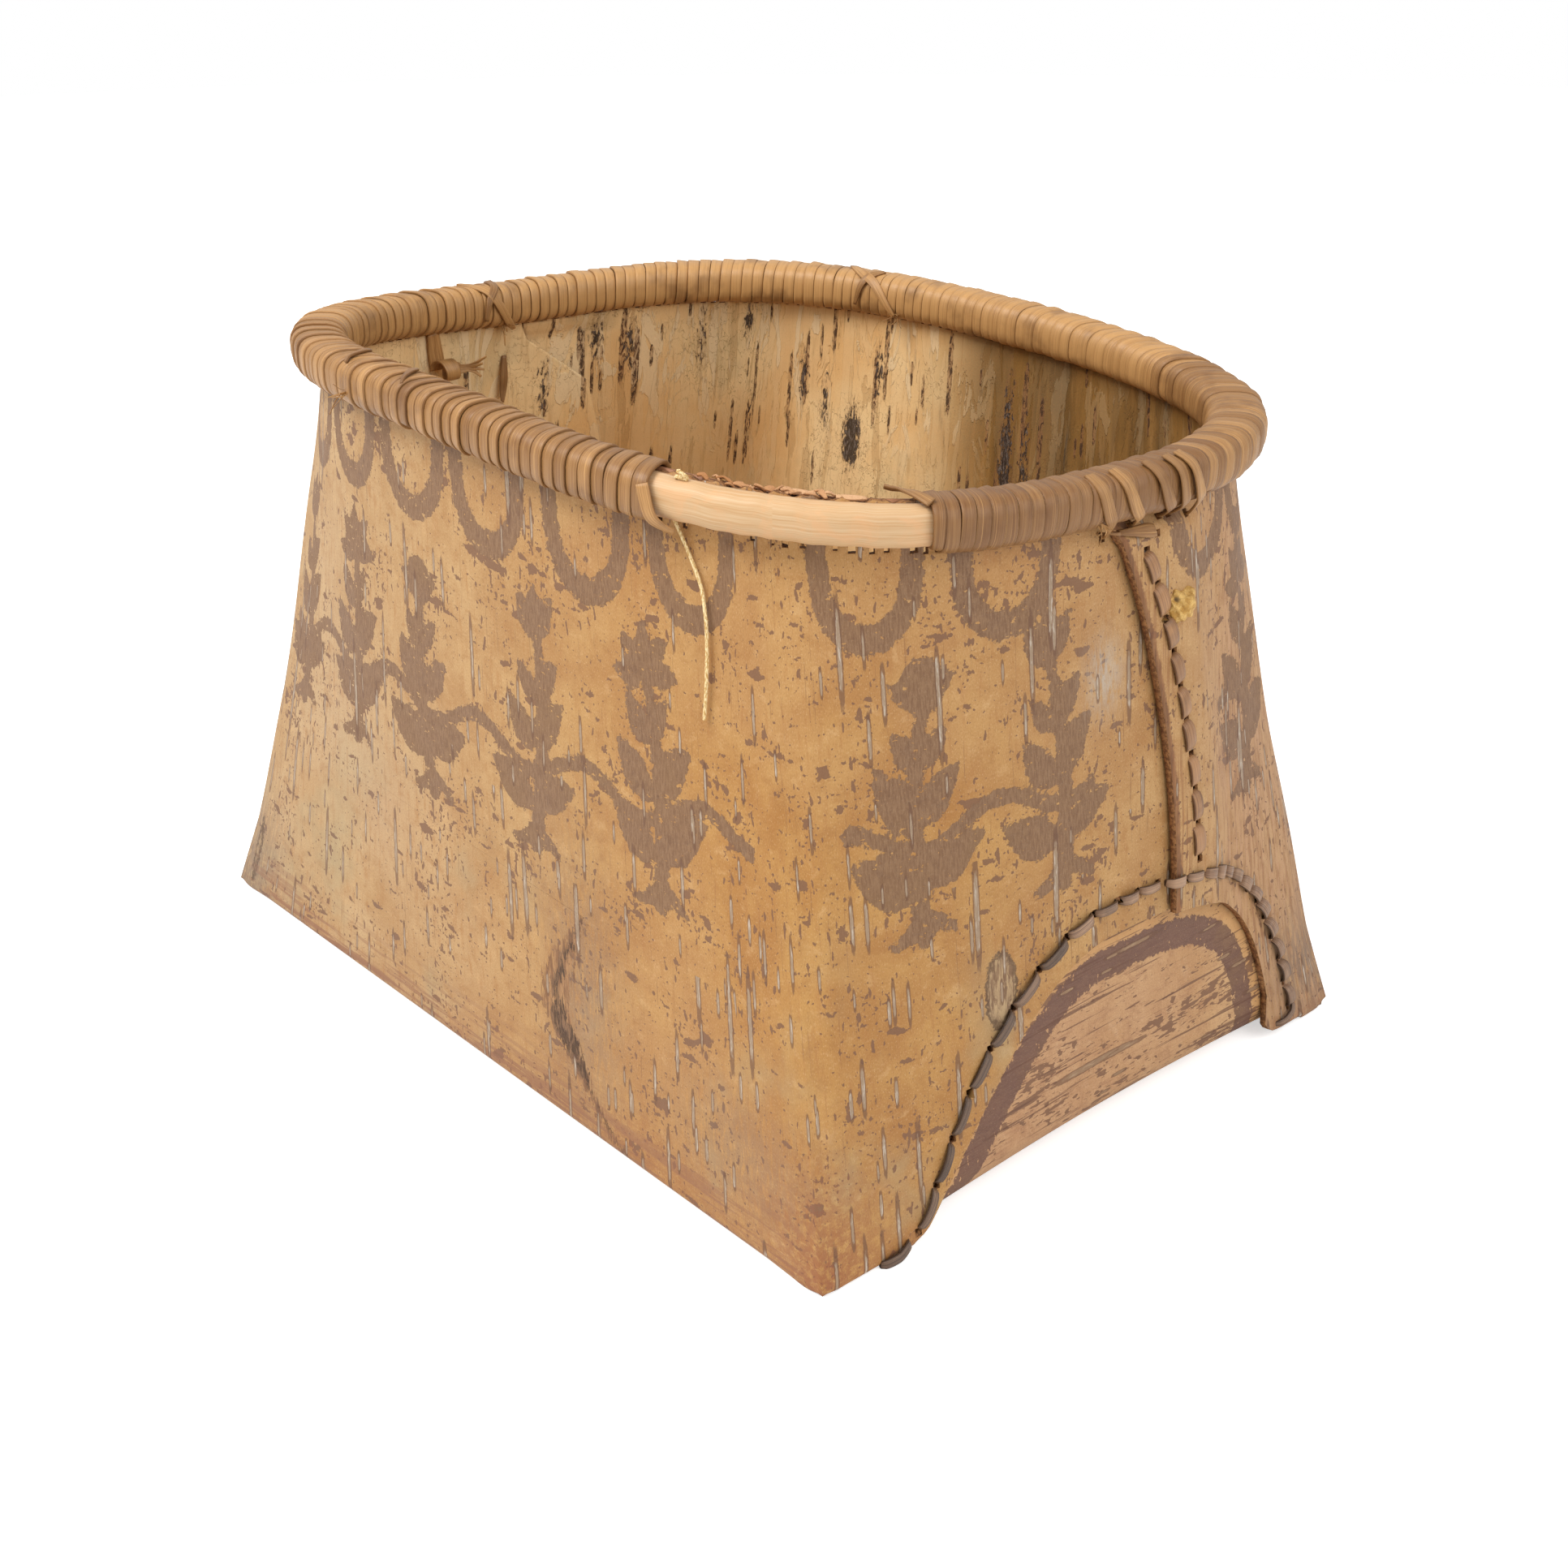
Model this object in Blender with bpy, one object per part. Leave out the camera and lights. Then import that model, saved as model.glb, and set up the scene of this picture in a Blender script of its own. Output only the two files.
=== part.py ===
"""Birch bark mocock: one folded sheet of bark, two hoops, and seams and rim sewn with split root.

Metres, +Z up. The origin is in the middle of the floor's underside. +X points at the end that is seen,
the long walls face -Y and +Y. A place on the wall is given by a point (cx, cy) on the edge of the square
from -1 to 1, which is the floor's rectangle scaled down, and by its height.
"""

import math

import bmesh
import bpy
from mathutils import Vector

# Floor and rim, over the bark's outer face
BASE_LENGTH = 0.340
BASE_WIDTH = 0.2383
RIM_LENGTH_SHARE = 0.8388
RIM_WIDTH_SHARE = 0.9820
RIM_HEIGHT = 0.2077
RIM_SQUARENESS = 3.03
RIM_SHIFT_X = 0.0042
RIM_SHIFT_Y = 0.0042
RIM_RISE_X = -0.0050
RIM_RISE_Y = -0.0038
RIM_SADDLE = -0.0037
RIM_CORNER = 0.016
BELLY_LEFT = 0.19
BELLY_RIGHT = 0.09

# The sheet of bark
BARK = 0.0023
GAP = 0.0003
LAP_GAP = 0.0007
SIDE_FOLD = 0.0030
END_FOLD = 0.0120
BARK_OVER_RIM = 0.0046

# The arch cut in each end, measured at the floor from the end's middle
ARCH_MIDDLE = 0.0050
ARCH_HEIGHT = 0.0660
ARCH_POWER = 1.35
ARCH_BACK_POWER = 3
ARCH_FRONT = 0.0880
ARCH_BACK = 0.0800
FOOT_BACK = 0.1040
FOOT_LIFT = 0.0015
SNAP = 0.00001

# The flap seam above the arch, and the cut corner of the hidden flap under the rim
SEAM_LOW = 0.0308
SEAM_TOP = 0.0045
SEAM_BEND = 2.2
OVERLAP = 0.0210
FLAP_RAMP = 0.0150
SEAM_CLIMB = 0.0060
SEAM_CLEAR = 0.0020
CORNER_CUT = 0.0250
TUCK = 0.0050
BUTT_GAP = 0.0006

# The tongue behind each arch
TONGUE_HEIGHT = 0.0800
TONGUE_CROWN = 0.0160
TONGUE_TOP_FRONT = 0.0440
TONGUE_TOP_BACK = 0.0880
TONGUE_SLACK = 0.0018
TONGUE_EASE = 0.0002
TONGUE_STRAIGHT = 0.4

# Rim package: a hoop outside, the bark and a flatter hoop inside, in one rounded section
OUTER_HOOP = 0.0056
INNER_HOOP = 0.0043
HOOP_HEIGHT = 0.0115
SECTION_ROUND = 2.9
HOOP_EASE = 0.0004
BARE_START = 0.1107
BARE_END = -0.0649

# Split root
ROOT_TURNS = (23, 23, 23, 24, 22, 23, 23, 23)
TURN_POINTS = 8
ROOT_THICK = 0.0011
TURN_GAP = 0.00062
ROOT_BREAK = 0.0032
SLOT_BELOW = 0.0006
STITCH_WIDTH = 0.0024
STITCH_CROWN = 0.0011
STITCH_DIP = 0.0004
STITCH_SWELL = (0.0, 0.8, 1.0, 0.8)
STITCH_PINCH = 0.64
STITCH_SHOULDER = 0.7
ARCH_STITCHES = 22
ARCH_STITCH_INSET = 0.0100
SEAM_STITCHES = 9
SEAM_INSET_LOW = 0.0122
SEAM_INSET_TOP = 0.0086
SEAM_STITCH_TOP = 0.0095
SEAM_STITCH_LOW = 0.0035

# Small things
TIE_DROP = 0.0055
TIE_WIDTH = 0.0030
TIE_THICK = 0.0010
TIE_SEAT = 0.0001
TIE_FRONT = -0.0048
TIE_BACK = 0.0149
PLUG_FROM_SEAM = 0.0177
PLUG_HEIGHT = 0.1615
PLUG_WIDTH = 0.0116
PLUG_TALL = 0.0105
PLUG_THICK = 0.0034
PLUG_SEAT = 0.0003
PLUG_UNEVEN = 0.12
THREAD_DIAMETER = 0.0010
THREAD_LIFT = 0.62
CURL_DIAMETER = 0.0110
CURL_TURNS = 1.6
CURL_WIDTH = 0.0075
CURL_THICK = 0.0009
CURL_INNER = 0.4
CURL_SLIDE = 0.0050
CURL_PLACE = -0.0360
CURL_DROP = 0.0160

# How finely shapes are divided
SIDE_CELLS = 14
LOWER_ROWS = 5
TONGUE_CELLS = 10
TONGUE_ROWS = 5
TABLE_STEPS = 1600
LEAST_SIDE_STEP = 0.035
LEAST_FLAP_STEP = 0.02
FRONT_LEG_ANGLES = (72, 60, 48, 34, 18, 0)
BACK_LEG_ANGLES = (82, 68, 54, 38)
CROWN_ANGLES = (14,)
ARCH_LINE_STEP = 4
END_ROWS = (1.6, 2.6)
SEAM_POINTS = 12
TIE_POINTS = 3
CURL_POINTS = 12
THREAD_POINTS = 3

HALF_LENGTH = BASE_LENGTH / 2
HALF_WIDTH = BASE_WIDTH / 2
RIM_LENGTH = BASE_LENGTH * RIM_LENGTH_SHARE
RIM_WIDTH = BASE_WIDTH * RIM_WIDTH_SHARE
LAYER = BARK + GAP
LAP = BARK + LAP_GAP
PACK_OUT = GAP + OUTER_HOOP
PACK_IN = -(BARK + GAP + INNER_HOOP)
PACK_MIDDLE = (PACK_OUT + PACK_IN) / 2
PACK_HALF = (PACK_OUT - PACK_IN) / 2
ROOT_SEAT = GAP + HOOP_EASE / 2
BAND_DROP = HOOP_HEIGHT / 2 + ROOT_SEAT + ROOT_THICK + 2 * SLOT_BELOW


def clamp(value, low=0.0, high=1.0):
    return min(max(value, low), high)


def lerp(a, b, t):
    return a + (b - a) * t


# The wall's surface


def on_square(place):
    """Point of the square's edge: the right end for -1..1, then back, left end and front, up to 7."""
    place = (place + 1) % 8 - 1
    if place < 1:
        return 1.0, place
    if place < 3:
        return 2.0 - place, 1.0
    if place < 5:
        return -1.0, 4.0 - place
    return place - 6.0, -1.0


def rim_reach(cx, cy):
    """Share of the rim's half sizes in this direction. The back right corner is pulled out a little."""
    pull = 1 + RIM_CORNER * clamp(cx) * clamp(cy)
    return pull * (abs(cx) ** RIM_SQUARENESS + abs(cy) ** RIM_SQUARENESS) ** (-1 / RIM_SQUARENESS)


def rim_height(cx, cy):
    reach = rim_reach(cx, cy)
    saddle = RIM_SADDLE * (cx * cx - cy * cy) / (cx * cx + cy * cy)
    return RIM_HEIGHT + saddle + RIM_RISE_X * cx * reach + RIM_RISE_Y * cy * reach


def band_height(cx, cy):
    """Where the wall turns straight up between the hoops."""
    return rim_height(cx, cy) - BAND_DROP


def rim_point(cx, cy, out, up):
    """A point of the rim's section: out from the bark's outer face and up from the hoops' middle."""
    reach = rim_reach(cx, cy)
    x = (RIM_LENGTH / 2 + out) * cx * reach + RIM_SHIFT_X
    y = (RIM_WIDTH / 2 + out) * cy * reach + RIM_SHIFT_Y
    return Vector((x, y, rim_height(cx, cy) + up))


def wall_point(cx, cy, height, out=0.0, fold=0.0):
    """A point on the wall's outer face, or out from it, from the floor's edge up to the rim.

    fold draws it in from a long side only, where the sheet turns under into the floor.
    """
    share = clamp(height / band_height(cx, cy))
    belly = lerp(BELLY_LEFT, BELLY_RIGHT, (cx + 1) / 2)
    share += belly * share * (1 - share)
    low = Vector(((HALF_LENGTH + out) * cx, (HALF_WIDTH + out - fold) * cy, 0))
    point = low.lerp(rim_point(cx, cy, out, 0), share)
    point.z = height
    return point


def arch_height(q):
    """Height of the arch's cut edge at q along an end, 0 where the wall still meets the floor."""
    side = q * HALF_WIDTH - ARCH_MIDDLE
    if side < SNAP - ARCH_FRONT or side > FOOT_BACK - ARCH_MIDDLE - SNAP:
        return 0.0
    if side <= 0:
        return ARCH_HEIGHT * clamp(1 - (side / ARCH_FRONT) ** 2) ** ARCH_POWER
    rest = clamp(1 - (side / ARCH_BACK) ** ARCH_BACK_POWER)
    return max(ARCH_HEIGHT * rest ** (1 / ARCH_BACK_POWER), FOOT_LIFT)


def arch_marks(angles, front):
    """Places q along one leg of the arch, closer together where its edge turns down."""
    reach, power = (-ARCH_FRONT, 1.0) if front else (ARCH_BACK, 2 / ARCH_BACK_POWER)
    return [(ARCH_MIDDLE + reach * math.sin(math.radians(a)) ** power) / HALF_WIDTH for a in angles]


def seam_q(height, band):
    """The over flap's cut edge: it leans from the arch towards the end's middle at the rim."""
    share = clamp((height - ARCH_HEIGHT) / (band - ARCH_HEIGHT))
    return lerp(SEAM_LOW, SEAM_TOP, share**SEAM_BEND) / HALF_WIDTH


def hidden_q(height, band):
    """The under flap's edge, behind the seam, drawn back to a butt where the rim begins."""
    share = clamp((height - (band - CORNER_CUT)) / (CORNER_CUT - TUCK))
    return seam_q(height, band) + lerp(OVERLAP, -BUTT_GAP, share) / HALF_WIDTH


def flap_lift(w, height, band):
    """How far the over flap stands out, at share w of its width from its cut edge."""
    low = seam_q(0, band)
    near = (OVERLAP / HALF_WIDTH) / (1 - low)
    far = ((OVERLAP + FLAP_RAMP) / HALF_WIDTH) / (1 - low)
    tuck = clamp((band - height) / TUCK)
    return LAP * clamp((far - w) / (far - near)) * tuck


def flap_place(over, w, height, band):
    """Place q along an end: w is 0 on the flap's cut edge and 1 on the corner."""
    edge = seam_q(height, band) if over else hidden_q(height, band)
    return lerp(edge, 1.0 if over else -1.0, w)


def lift_at(q, height, band):
    """How far something laid over an end stands out at q, rising before it meets the seam."""
    edge = seam_q(height, band)
    if q < edge:
        return LAP * clamp(((q - edge) * HALF_WIDTH + SEAM_CLIMB) / (SEAM_CLIMB - SEAM_CLEAR))
    return flap_lift((q - edge) / (1 - edge), height, band)


# Places of the rim's roots


def rim_table():
    """Length along the rim's middle against place, over the lashed stretch."""
    first = BARE_END / HALF_WIDTH
    last = 6.0 + BARE_START / HALF_LENGTH
    places = [lerp(first, last, i / TABLE_STEPS) for i in range(TABLE_STEPS + 1)]
    points = [rim_point(*on_square(p), PACK_MIDDLE, 0) for p in places]
    lengths = [0.0]
    for a, b in zip(points, points[1:]):
        lengths.append(lengths[-1] + (b - a).length)
    return places, lengths


def place_at(table, length):
    places, lengths = table
    for i in range(TABLE_STEPS):
        if lengths[i + 1] >= length:
            share = (length - lengths[i]) / (lengths[i + 1] - lengths[i])
            return lerp(places[i], places[i + 1], share)
    return places[-1]


def root_spans(table):
    """Where each root's slot starts and stops, as lengths along the rim's middle."""
    pitch = (table[1][-1] - ROOT_BREAK * (len(ROOT_TURNS) - 1)) / sum(ROOT_TURNS)
    spans = []
    start = 0.0
    for turns in ROOT_TURNS:
        spans.append((start, start + pitch * turns))
        start += pitch * turns + ROOT_BREAK
    return spans


# Building helpers


def material(name, colour, roughness):
    made = bpy.data.materials.new(name)
    made.use_nodes = True
    shader = made.node_tree.nodes["Principled BSDF"]
    shader.inputs["Base Color"].default_value = (*colour, 1)
    shader.inputs["Roughness"].default_value = roughness
    shader.inputs["Metallic"].default_value = 0.0
    made.diffuse_color = (*colour, 1)
    return made


def finish(name, mesh_data, finish_material, smooth=True):
    """Turns a bmesh into a named object with its material."""
    mesh = bpy.data.meshes.new(name)
    mesh_data.to_mesh(mesh)
    mesh_data.free()
    mesh.materials.append(finish_material)
    if smooth:
        mesh.shade_smooth()
        mesh.set_sharp_from_angle(angle=math.radians(40))
    made = bpy.data.objects.new(name, mesh)
    bpy.context.scene.collection.objects.link(made)
    return made


def sweep(name, rings, finish_material, closed=False):
    """A solid through rings of points: an outline carried along a line, capped unless it closes."""
    built = bmesh.new()
    loops = [[built.verts.new(p) for p in ring] for ring in rings]
    count = len(loops[0])
    pairs = list(zip(loops, loops[1:]))
    if closed:
        pairs.append((loops[-1], loops[0]))
    for a, b in pairs:
        for i in range(count):
            built.faces.new((a[i], a[(i + 1) % count], b[(i + 1) % count], b[i]))
    if not closed:
        built.faces.new(loops[0])
        built.faces.new(loops[-1])
    bmesh.ops.recalc_face_normals(built, faces=built.faces)
    return finish(name, built, finish_material)


# The sheet of bark


def column_rows(cx, band, foot):
    """Heights and folds of one column of the sheet, from its foot to the bark's top edge."""
    low = band - CORNER_CUT
    if abs(cx) < 1:
        turn = 1 - math.sqrt(0.5)
        marks = [0.0, SIDE_FOLD * turn, SIDE_FOLD]
        folds = [SIDE_FOLD, SIDE_FOLD * turn]
    else:
        marks = [0.0] + [BARK * share for share in END_ROWS]
        folds = [0.0, 0.0]
    marks += [lerp(marks[-1], low, k / LOWER_ROWS) for k in range(1, LOWER_ROWS + 1)]
    rows = [lerp(foot, low, mark / low) for mark in marks]
    rim = band + BAND_DROP
    slot_top = rim - HOOP_HEIGHT / 2
    rows += [band - TUCK, band, band + SLOT_BELOW, slot_top, rim + BARK_OVER_RIM]
    return list(zip(rows, folds + [0.0] * (len(rows) - 2)))


# Row of cells that the slots take out, just above the band
SLOT_ROW = LOWER_ROWS + 5


def side_column(built, side, q):
    """A column of a long wall."""
    cx, cy = q, float(side)
    rows = column_rows(cx, band_height(cx, cy), 0)
    return [built.verts.new(wall_point(cx, cy, z, 0, fold)) for z, fold in rows]


def flap_column(built, end, over, w):
    """A column of a flap that wraps round an end. Its foot is the floor or the arch's edge."""
    top = seam_q(1, 1) if over else seam_q(1, 1) - BUTT_GAP / HALF_WIDTH
    band = band_height(end, lerp(top, 1.0 if over else -1.0, w))
    foot_q = flap_place(over, w, 0, band)
    foot = arch_height(foot_q)
    connected = foot == 0
    column = []
    for z, fold in column_rows(end, band, foot):
        q = flap_place(over, w, z, band)
        lift = flap_lift(w, z, band) if over else 0.0
        column.append(built.verts.new(wall_point(end, q, z, lift, fold)))
    return column, connected


def thinned(marks, fixed, least):
    """The marks with those dropped that lie too near a fixed one, and the fixed ones added."""
    kept = [m for m in marks if all(abs(m - f) > least for f in fixed)]
    return sorted(kept + fixed)


def flap_shares(over, slot_ends):
    """Shares w of a flap's columns: the arch's bends, the flap's ramp and the ends of the slots."""
    low = seam_q(0, 1) if over else seam_q(0, 1) + OVERLAP / HALF_WIDTH
    top = seam_q(1, 1) if over else seam_q(1, 1) - BUTT_GAP / HALF_WIDTH
    corner = 1.0 if over else -1.0
    if over:
        seam = seam_q(0, 1)
        ramp = [seam + OVERLAP / HALF_WIDTH, seam + (OVERLAP + FLAP_RAMP) / HALF_WIDTH]
        feet = [FOOT_BACK / HALF_WIDTH, (ARCH_MIDDLE + ARCH_BACK) / HALF_WIDTH]
        marks = arch_marks(BACK_LEG_ANGLES, front=False)
        marks += [lerp(feet[0], corner, 0.5), lerp(feet[0], feet[1], 0.5)]
        fixed = [low, corner] + ramp + feet
    else:
        feet = [(ARCH_MIDDLE - ARCH_FRONT) / HALF_WIDTH]
        marks = arch_marks(FRONT_LEG_ANGLES, front=True) + arch_marks(CROWN_ANGLES, front=False)
        marks += [lerp(feet[0], corner, share) for share in (1 / 3, 2 / 3)]
        fixed = [low, corner] + feet
    fixed_shares = [(m - low) / (corner - low) for m in fixed]
    fixed_shares += [(q - top) / (corner - top) for q in slot_ends]
    shares = [(m - low) / (corner - low) for m in marks if abs(corner - m) <= abs(corner - low)]
    return [clamp(w) for w in thinned(shares, fixed_shares, LEAST_FLAP_STEP)]


def tongue_edge(height, back):
    """Side edge of a tongue: it starts at the slit's foot and draws in towards the top."""
    if back:
        foot, top, start = FOOT_BACK, TONGUE_TOP_BACK, TONGUE_HEIGHT * TONGUE_STRAIGHT
    else:
        foot, top, start = ARCH_MIDDLE - ARCH_FRONT, -TONGUE_TOP_FRONT, 0.0
    share = clamp((height - start) / (TONGUE_HEIGHT - start))
    slack = TONGUE_SLACK * clamp(height / END_FOLD)
    return (lerp(foot, top, share) + (-slack if back else slack)) / HALF_WIDTH


def tongue_grid(built, end):
    """Columns of an end's tongue: floor line, rounded fold, then up behind the flaps."""
    columns = []
    for i in range(TONGUE_CELLS + 1):
        w = i / TONGUE_CELLS
        top = TONGUE_HEIGHT - TONGUE_CROWN * abs(2 * w - 1) ** 3
        turns = [math.radians(angle) for angle in (0, 30, 60, 90)]
        steps = [(END_FOLD * (1 - math.cos(t)), END_FOLD * (1 - math.sin(t))) for t in turns]
        steps += [(lerp(END_FOLD, top, k / TONGUE_ROWS), 0.0) for k in range(1, TONGUE_ROWS + 1)]
        column = []
        for z, back in steps:
            q = lerp(tongue_edge(z, False), tongue_edge(z, True), w)
            point = wall_point(end, q, z)
            point.x -= end * (LAYER + TONGUE_EASE + back)
            column.append(built.verts.new(point))
        columns.append(column)
    return columns


def fill_columns(built, columns, skipped=None):
    for i, (a, b) in enumerate(zip(columns, columns[1:])):
        for k in range(len(a) - 1):
            if skipped and skipped(i, k):
                continue
            built.faces.new((a[k], b[k], b[k + 1], a[k + 1]))


def build_bark(finish_material, slots):
    """The whole sheet as its outer face, thickened inwards. Returns its columns' places at the rim."""
    built = bmesh.new()
    ends = [p for slot in slots for p in slot]

    def in_slot(place):
        return any(first < place < last for first, last in slots)

    def side_marks(side):
        middle = 2.0 if side > 0 else 6.0
        fixed = [side * (middle - p) for p in ends if abs(p - middle) < 1]
        marks = [lerp(-1, 1, i / SIDE_CELLS) for i in range(1, SIDE_CELLS)]
        return [q for q in thinned(marks, fixed, LEAST_SIDE_STEP) if abs(q) < 1]

    places = []
    walls = {}
    for side in (-1, 1):
        over = side > 0
        line = []
        for end in (-1, 1):
            top = seam_q(1, 1) if over else seam_q(1, 1) - BUTT_GAP / HALF_WIDTH
            low, high = (top, 1) if over else (-1, top)
            slot_ends = [p if end > 0 else 4 - p for p in ends]
            slot_ends = [q for q in slot_ends if low < q < high]
            flap = []
            for w in flap_shares(over, slot_ends):
                column, connected = flap_column(built, end, over, w)
                q = lerp(top, float(side), w)
                flap.append((column, connected, q if end > 0 else 4 - q))
            line.append(flap)
        left, right = line
        sides = []
        for q in side_marks(side):
            place = 2 - q if over else 6 + q
            sides.append((side_column(built, side, q), True, place))
        walls[side] = left + sides + right[::-1]
    for side, wall in walls.items():
        columns = [column for column, _, _ in wall]
        marks = [place for _, _, place in wall]

        def skipped(i, k, marks=marks):
            a, b = marks[i], marks[i + 1]
            if abs(a - b) > 4:
                a, b = (p - 8 if p > 4 else p for p in (a, b))
            return k == SLOT_ROW and in_slot((a + b) / 2)

        fill_columns(built, columns, skipped)
        over = side > 0
        places += [(p + 1) % 8 - 1 for p in (marks if over else marks[1:-1])]

    tongues = {end: tongue_grid(built, end) for end in (-1, 1)}
    for tongue in tongues.values():
        fill_columns(built, tongue)
    front = [column[0] for column, connected, _ in walls[-1] if connected]
    back = [column[0] for column, connected, _ in walls[1] if connected]
    right_line = [column[0] for column in tongues[1]]
    left_line = [column[0] for column in tongues[-1]]
    floor = built.faces.new(front + right_line + back[::-1] + left_line[::-1])
    bmesh.ops.recalc_face_normals(built, faces=built.faces)
    floor.normal_update()
    if floor.normal.z > 0:
        bmesh.ops.reverse_faces(built, faces=built.faces)
    bark = finish("bark_body", built, finish_material)
    wall_thickness = bark.modifiers.new("bark thickness", "SOLIDIFY")
    wall_thickness.thickness = BARK
    wall_thickness.offset = -1
    wall_thickness.use_even_offset = True
    wall_thickness.use_quality_normals = True
    return sorted(places)


# Hoops and the roots wound over them


def section_point(angle, grow):
    """A point of the rim package's rounded section, grown outwards."""
    c, s = math.cos(angle), math.sin(angle)
    power = 2 / SECTION_ROUND
    out = PACK_MIDDLE + math.copysign(abs(c) ** power, c) * (PACK_HALF + grow)
    up = math.copysign(abs(s) ** power, s) * (HOOP_HEIGHT / 2 + grow)
    return out, up


def turn_angle(k):
    """Angle of a turn's k-th point, half a step past the horizontal."""
    return 2 * math.pi * (k % TURN_POINTS + 0.5) / TURN_POINTS


def hoop_section(outer):
    """Half of the package's section, cut flat on the side that lies against the bark."""
    face = GAP if outer else -(BARK + GAP)
    corners = [section_point(turn_angle(k), 0) for k in range(TURN_POINTS)]
    beyond = [(out, up) for out, up in corners if (out > face) == outer and abs(out - face) > HOOP_EASE]
    beyond.sort(key=lambda c: c[1] if outer else -c[1])
    tall = max(up for _, up in corners)
    ends = [(face, -tall), (face, tall)] if outer else [(face, tall), (face, -tall)]
    return [ends[0]] + beyond + [ends[1]]


def build_hoop(name, outer, places, finish_material):
    section = hoop_section(outer)
    rings = [[rim_point(*on_square(p), out, up) for out, up in section] for p in places]
    return sweep(name, rings, finish_material, closed=True)


def chord_point(places, place, out, up):
    """A rim point on the straight stretch between two columns, as the hoops have them."""
    place = (place + 1) % 8 - 1
    after = next((i for i, p in enumerate(places) if p > place), 0)
    before = after - 1
    low, high = places[before], places[after]
    if high < low:
        high += 8
        place += 8 if place < low else 0
    share = (place - low) / (high - low)
    a = rim_point(*on_square(low), out, up)
    return a.lerp(rim_point(*on_square(high), out, up), share)


def build_root(name, table, span, turns, places, finish_material):
    """One split root wound round the rim and through the bark under it, as one unbroken strip."""
    first, last = span[0] + GAP, span[1] - GAP
    half = ((last - first) / turns - TURN_GAP) / 2
    total = (turns - 1) * TURN_POINTS
    rings = []
    for k in range(total + 1):
        along = lerp(first + half, last - half, k / total)
        angle = turn_angle(k)
        low_out, low_up = section_point(angle, ROOT_SEAT)
        high_out, high_up = section_point(angle, ROOT_SEAT + ROOT_THICK)
        left, middle, right = (place_at(table, along + step) for step in (-half, 0, half))
        rings.append([
            chord_point(places, left, low_out, low_up),
            chord_point(places, middle, high_out, high_up),
            chord_point(places, right, low_out, low_up),
        ])
    spread = [(b[0] - a[2]).length for a, b in zip(rings, rings[TURN_POINTS:])]
    print(f"{name}: least gap between turns {min(spread) * 1000:.2f} mm")
    return sweep(name, rings, finish_material)


# Stitched seams


def stitch_ring(end, q, height, across, crown):
    """The section of a stitch: flat on the bark, crowned outside. across is a step in (q, height)."""
    ring = []
    band = band_height(end, q)
    side = crown * STITCH_SHOULDER
    for sign, out in ((-1, 0.0), (-1, side), (0, crown), (1, side), (1, 0.0)):
        dq, dz = across[0] * sign, across[1] * sign
        lift = max(lift_at(q + dq, height + dz, band), lift_at(q, height, band))
        ring.append(wall_point(end, q + dq, height + dz, lift + GAP + out))
    return ring


def build_stitching(name, end, line, stitches, finish_material):
    """A sewn root along a line of (q, height) points: a crown for each stitch, a dip at each hole."""
    marks = [0.0]
    for a, b in zip(line, line[1:]):
        marks.append(marks[-1] + math.hypot((b[0] - a[0]) * HALF_WIDTH, b[1] - a[1]))
    steps = stitches * len(STITCH_SWELL)
    rings = []
    for k in range(steps + 1):
        along = marks[-1] * k / steps
        i = next(i for i in range(len(marks) - 1) if marks[i + 1] >= along or i == len(marks) - 2)
        share = (along - marks[i]) / (marks[i + 1] - marks[i])
        a, b = line[i], line[i + 1]
        q, height = lerp(a[0], b[0], share), lerp(a[1], b[1], share)
        along_q, along_z = (b[0] - a[0]) * HALF_WIDTH, b[1] - a[1]
        length = math.hypot(along_q, along_z)
        swell = STITCH_SWELL[k % len(STITCH_SWELL)]
        half = STITCH_WIDTH / 2 * lerp(STITCH_PINCH, 1.0, swell)
        across = (-along_z / length * half / HALF_WIDTH, along_q / length * half)
        rings.append(stitch_ring(end, q, height, across, lerp(STITCH_DIP, STITCH_CROWN, swell)))
    return sweep(name, rings, finish_material)


def arch_line():
    """The line that the arch's stitches follow, set back from the cut edge."""
    edge = []
    for degrees in range(80, 0, -ARCH_LINE_STEP):
        turn = math.radians(degrees)
        y = ARCH_MIDDLE - ARCH_FRONT * math.sin(turn)
        edge.append((y, ARCH_HEIGHT * math.cos(turn) ** (2 * ARCH_POWER)))
    power = 2 / ARCH_BACK_POWER
    for degrees in range(0, 88, ARCH_LINE_STEP):
        turn = math.radians(degrees)
        y = ARCH_MIDDLE + ARCH_BACK * math.sin(turn) ** power
        edge.append((y, ARCH_HEIGHT * math.cos(turn) ** power))
    line = []
    for i, (y, z) in enumerate(edge):
        before, after = edge[max(i - 1, 0)], edge[min(i + 1, len(edge) - 1)]
        dy, dz = after[0] - before[0], after[1] - before[1]
        length = math.hypot(dy, dz)
        step = ARCH_STITCH_INSET / length
        line.append(((y - dz * step) / HALF_WIDTH, z + dy * step))
    return [(q, z) for q, z in line if z > 2 * STITCH_WIDTH]


def seam_line(end):
    """The line of the upright seam's stitches, inside the over flap's cut edge."""
    band = band_height(end, SEAM_TOP / HALF_WIDTH)
    low = ARCH_HEIGHT + ARCH_STITCH_INSET + SEAM_STITCH_LOW
    high = band - SEAM_STITCH_TOP
    line = []
    for k in range(SEAM_POINTS + 1):
        z = lerp(high, low, k / SEAM_POINTS)
        inset = lerp(SEAM_INSET_TOP, SEAM_INSET_LOW, k / SEAM_POINTS)
        line.append((seam_q(z, band) + inset / HALF_WIDTH, z))
    return line


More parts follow.
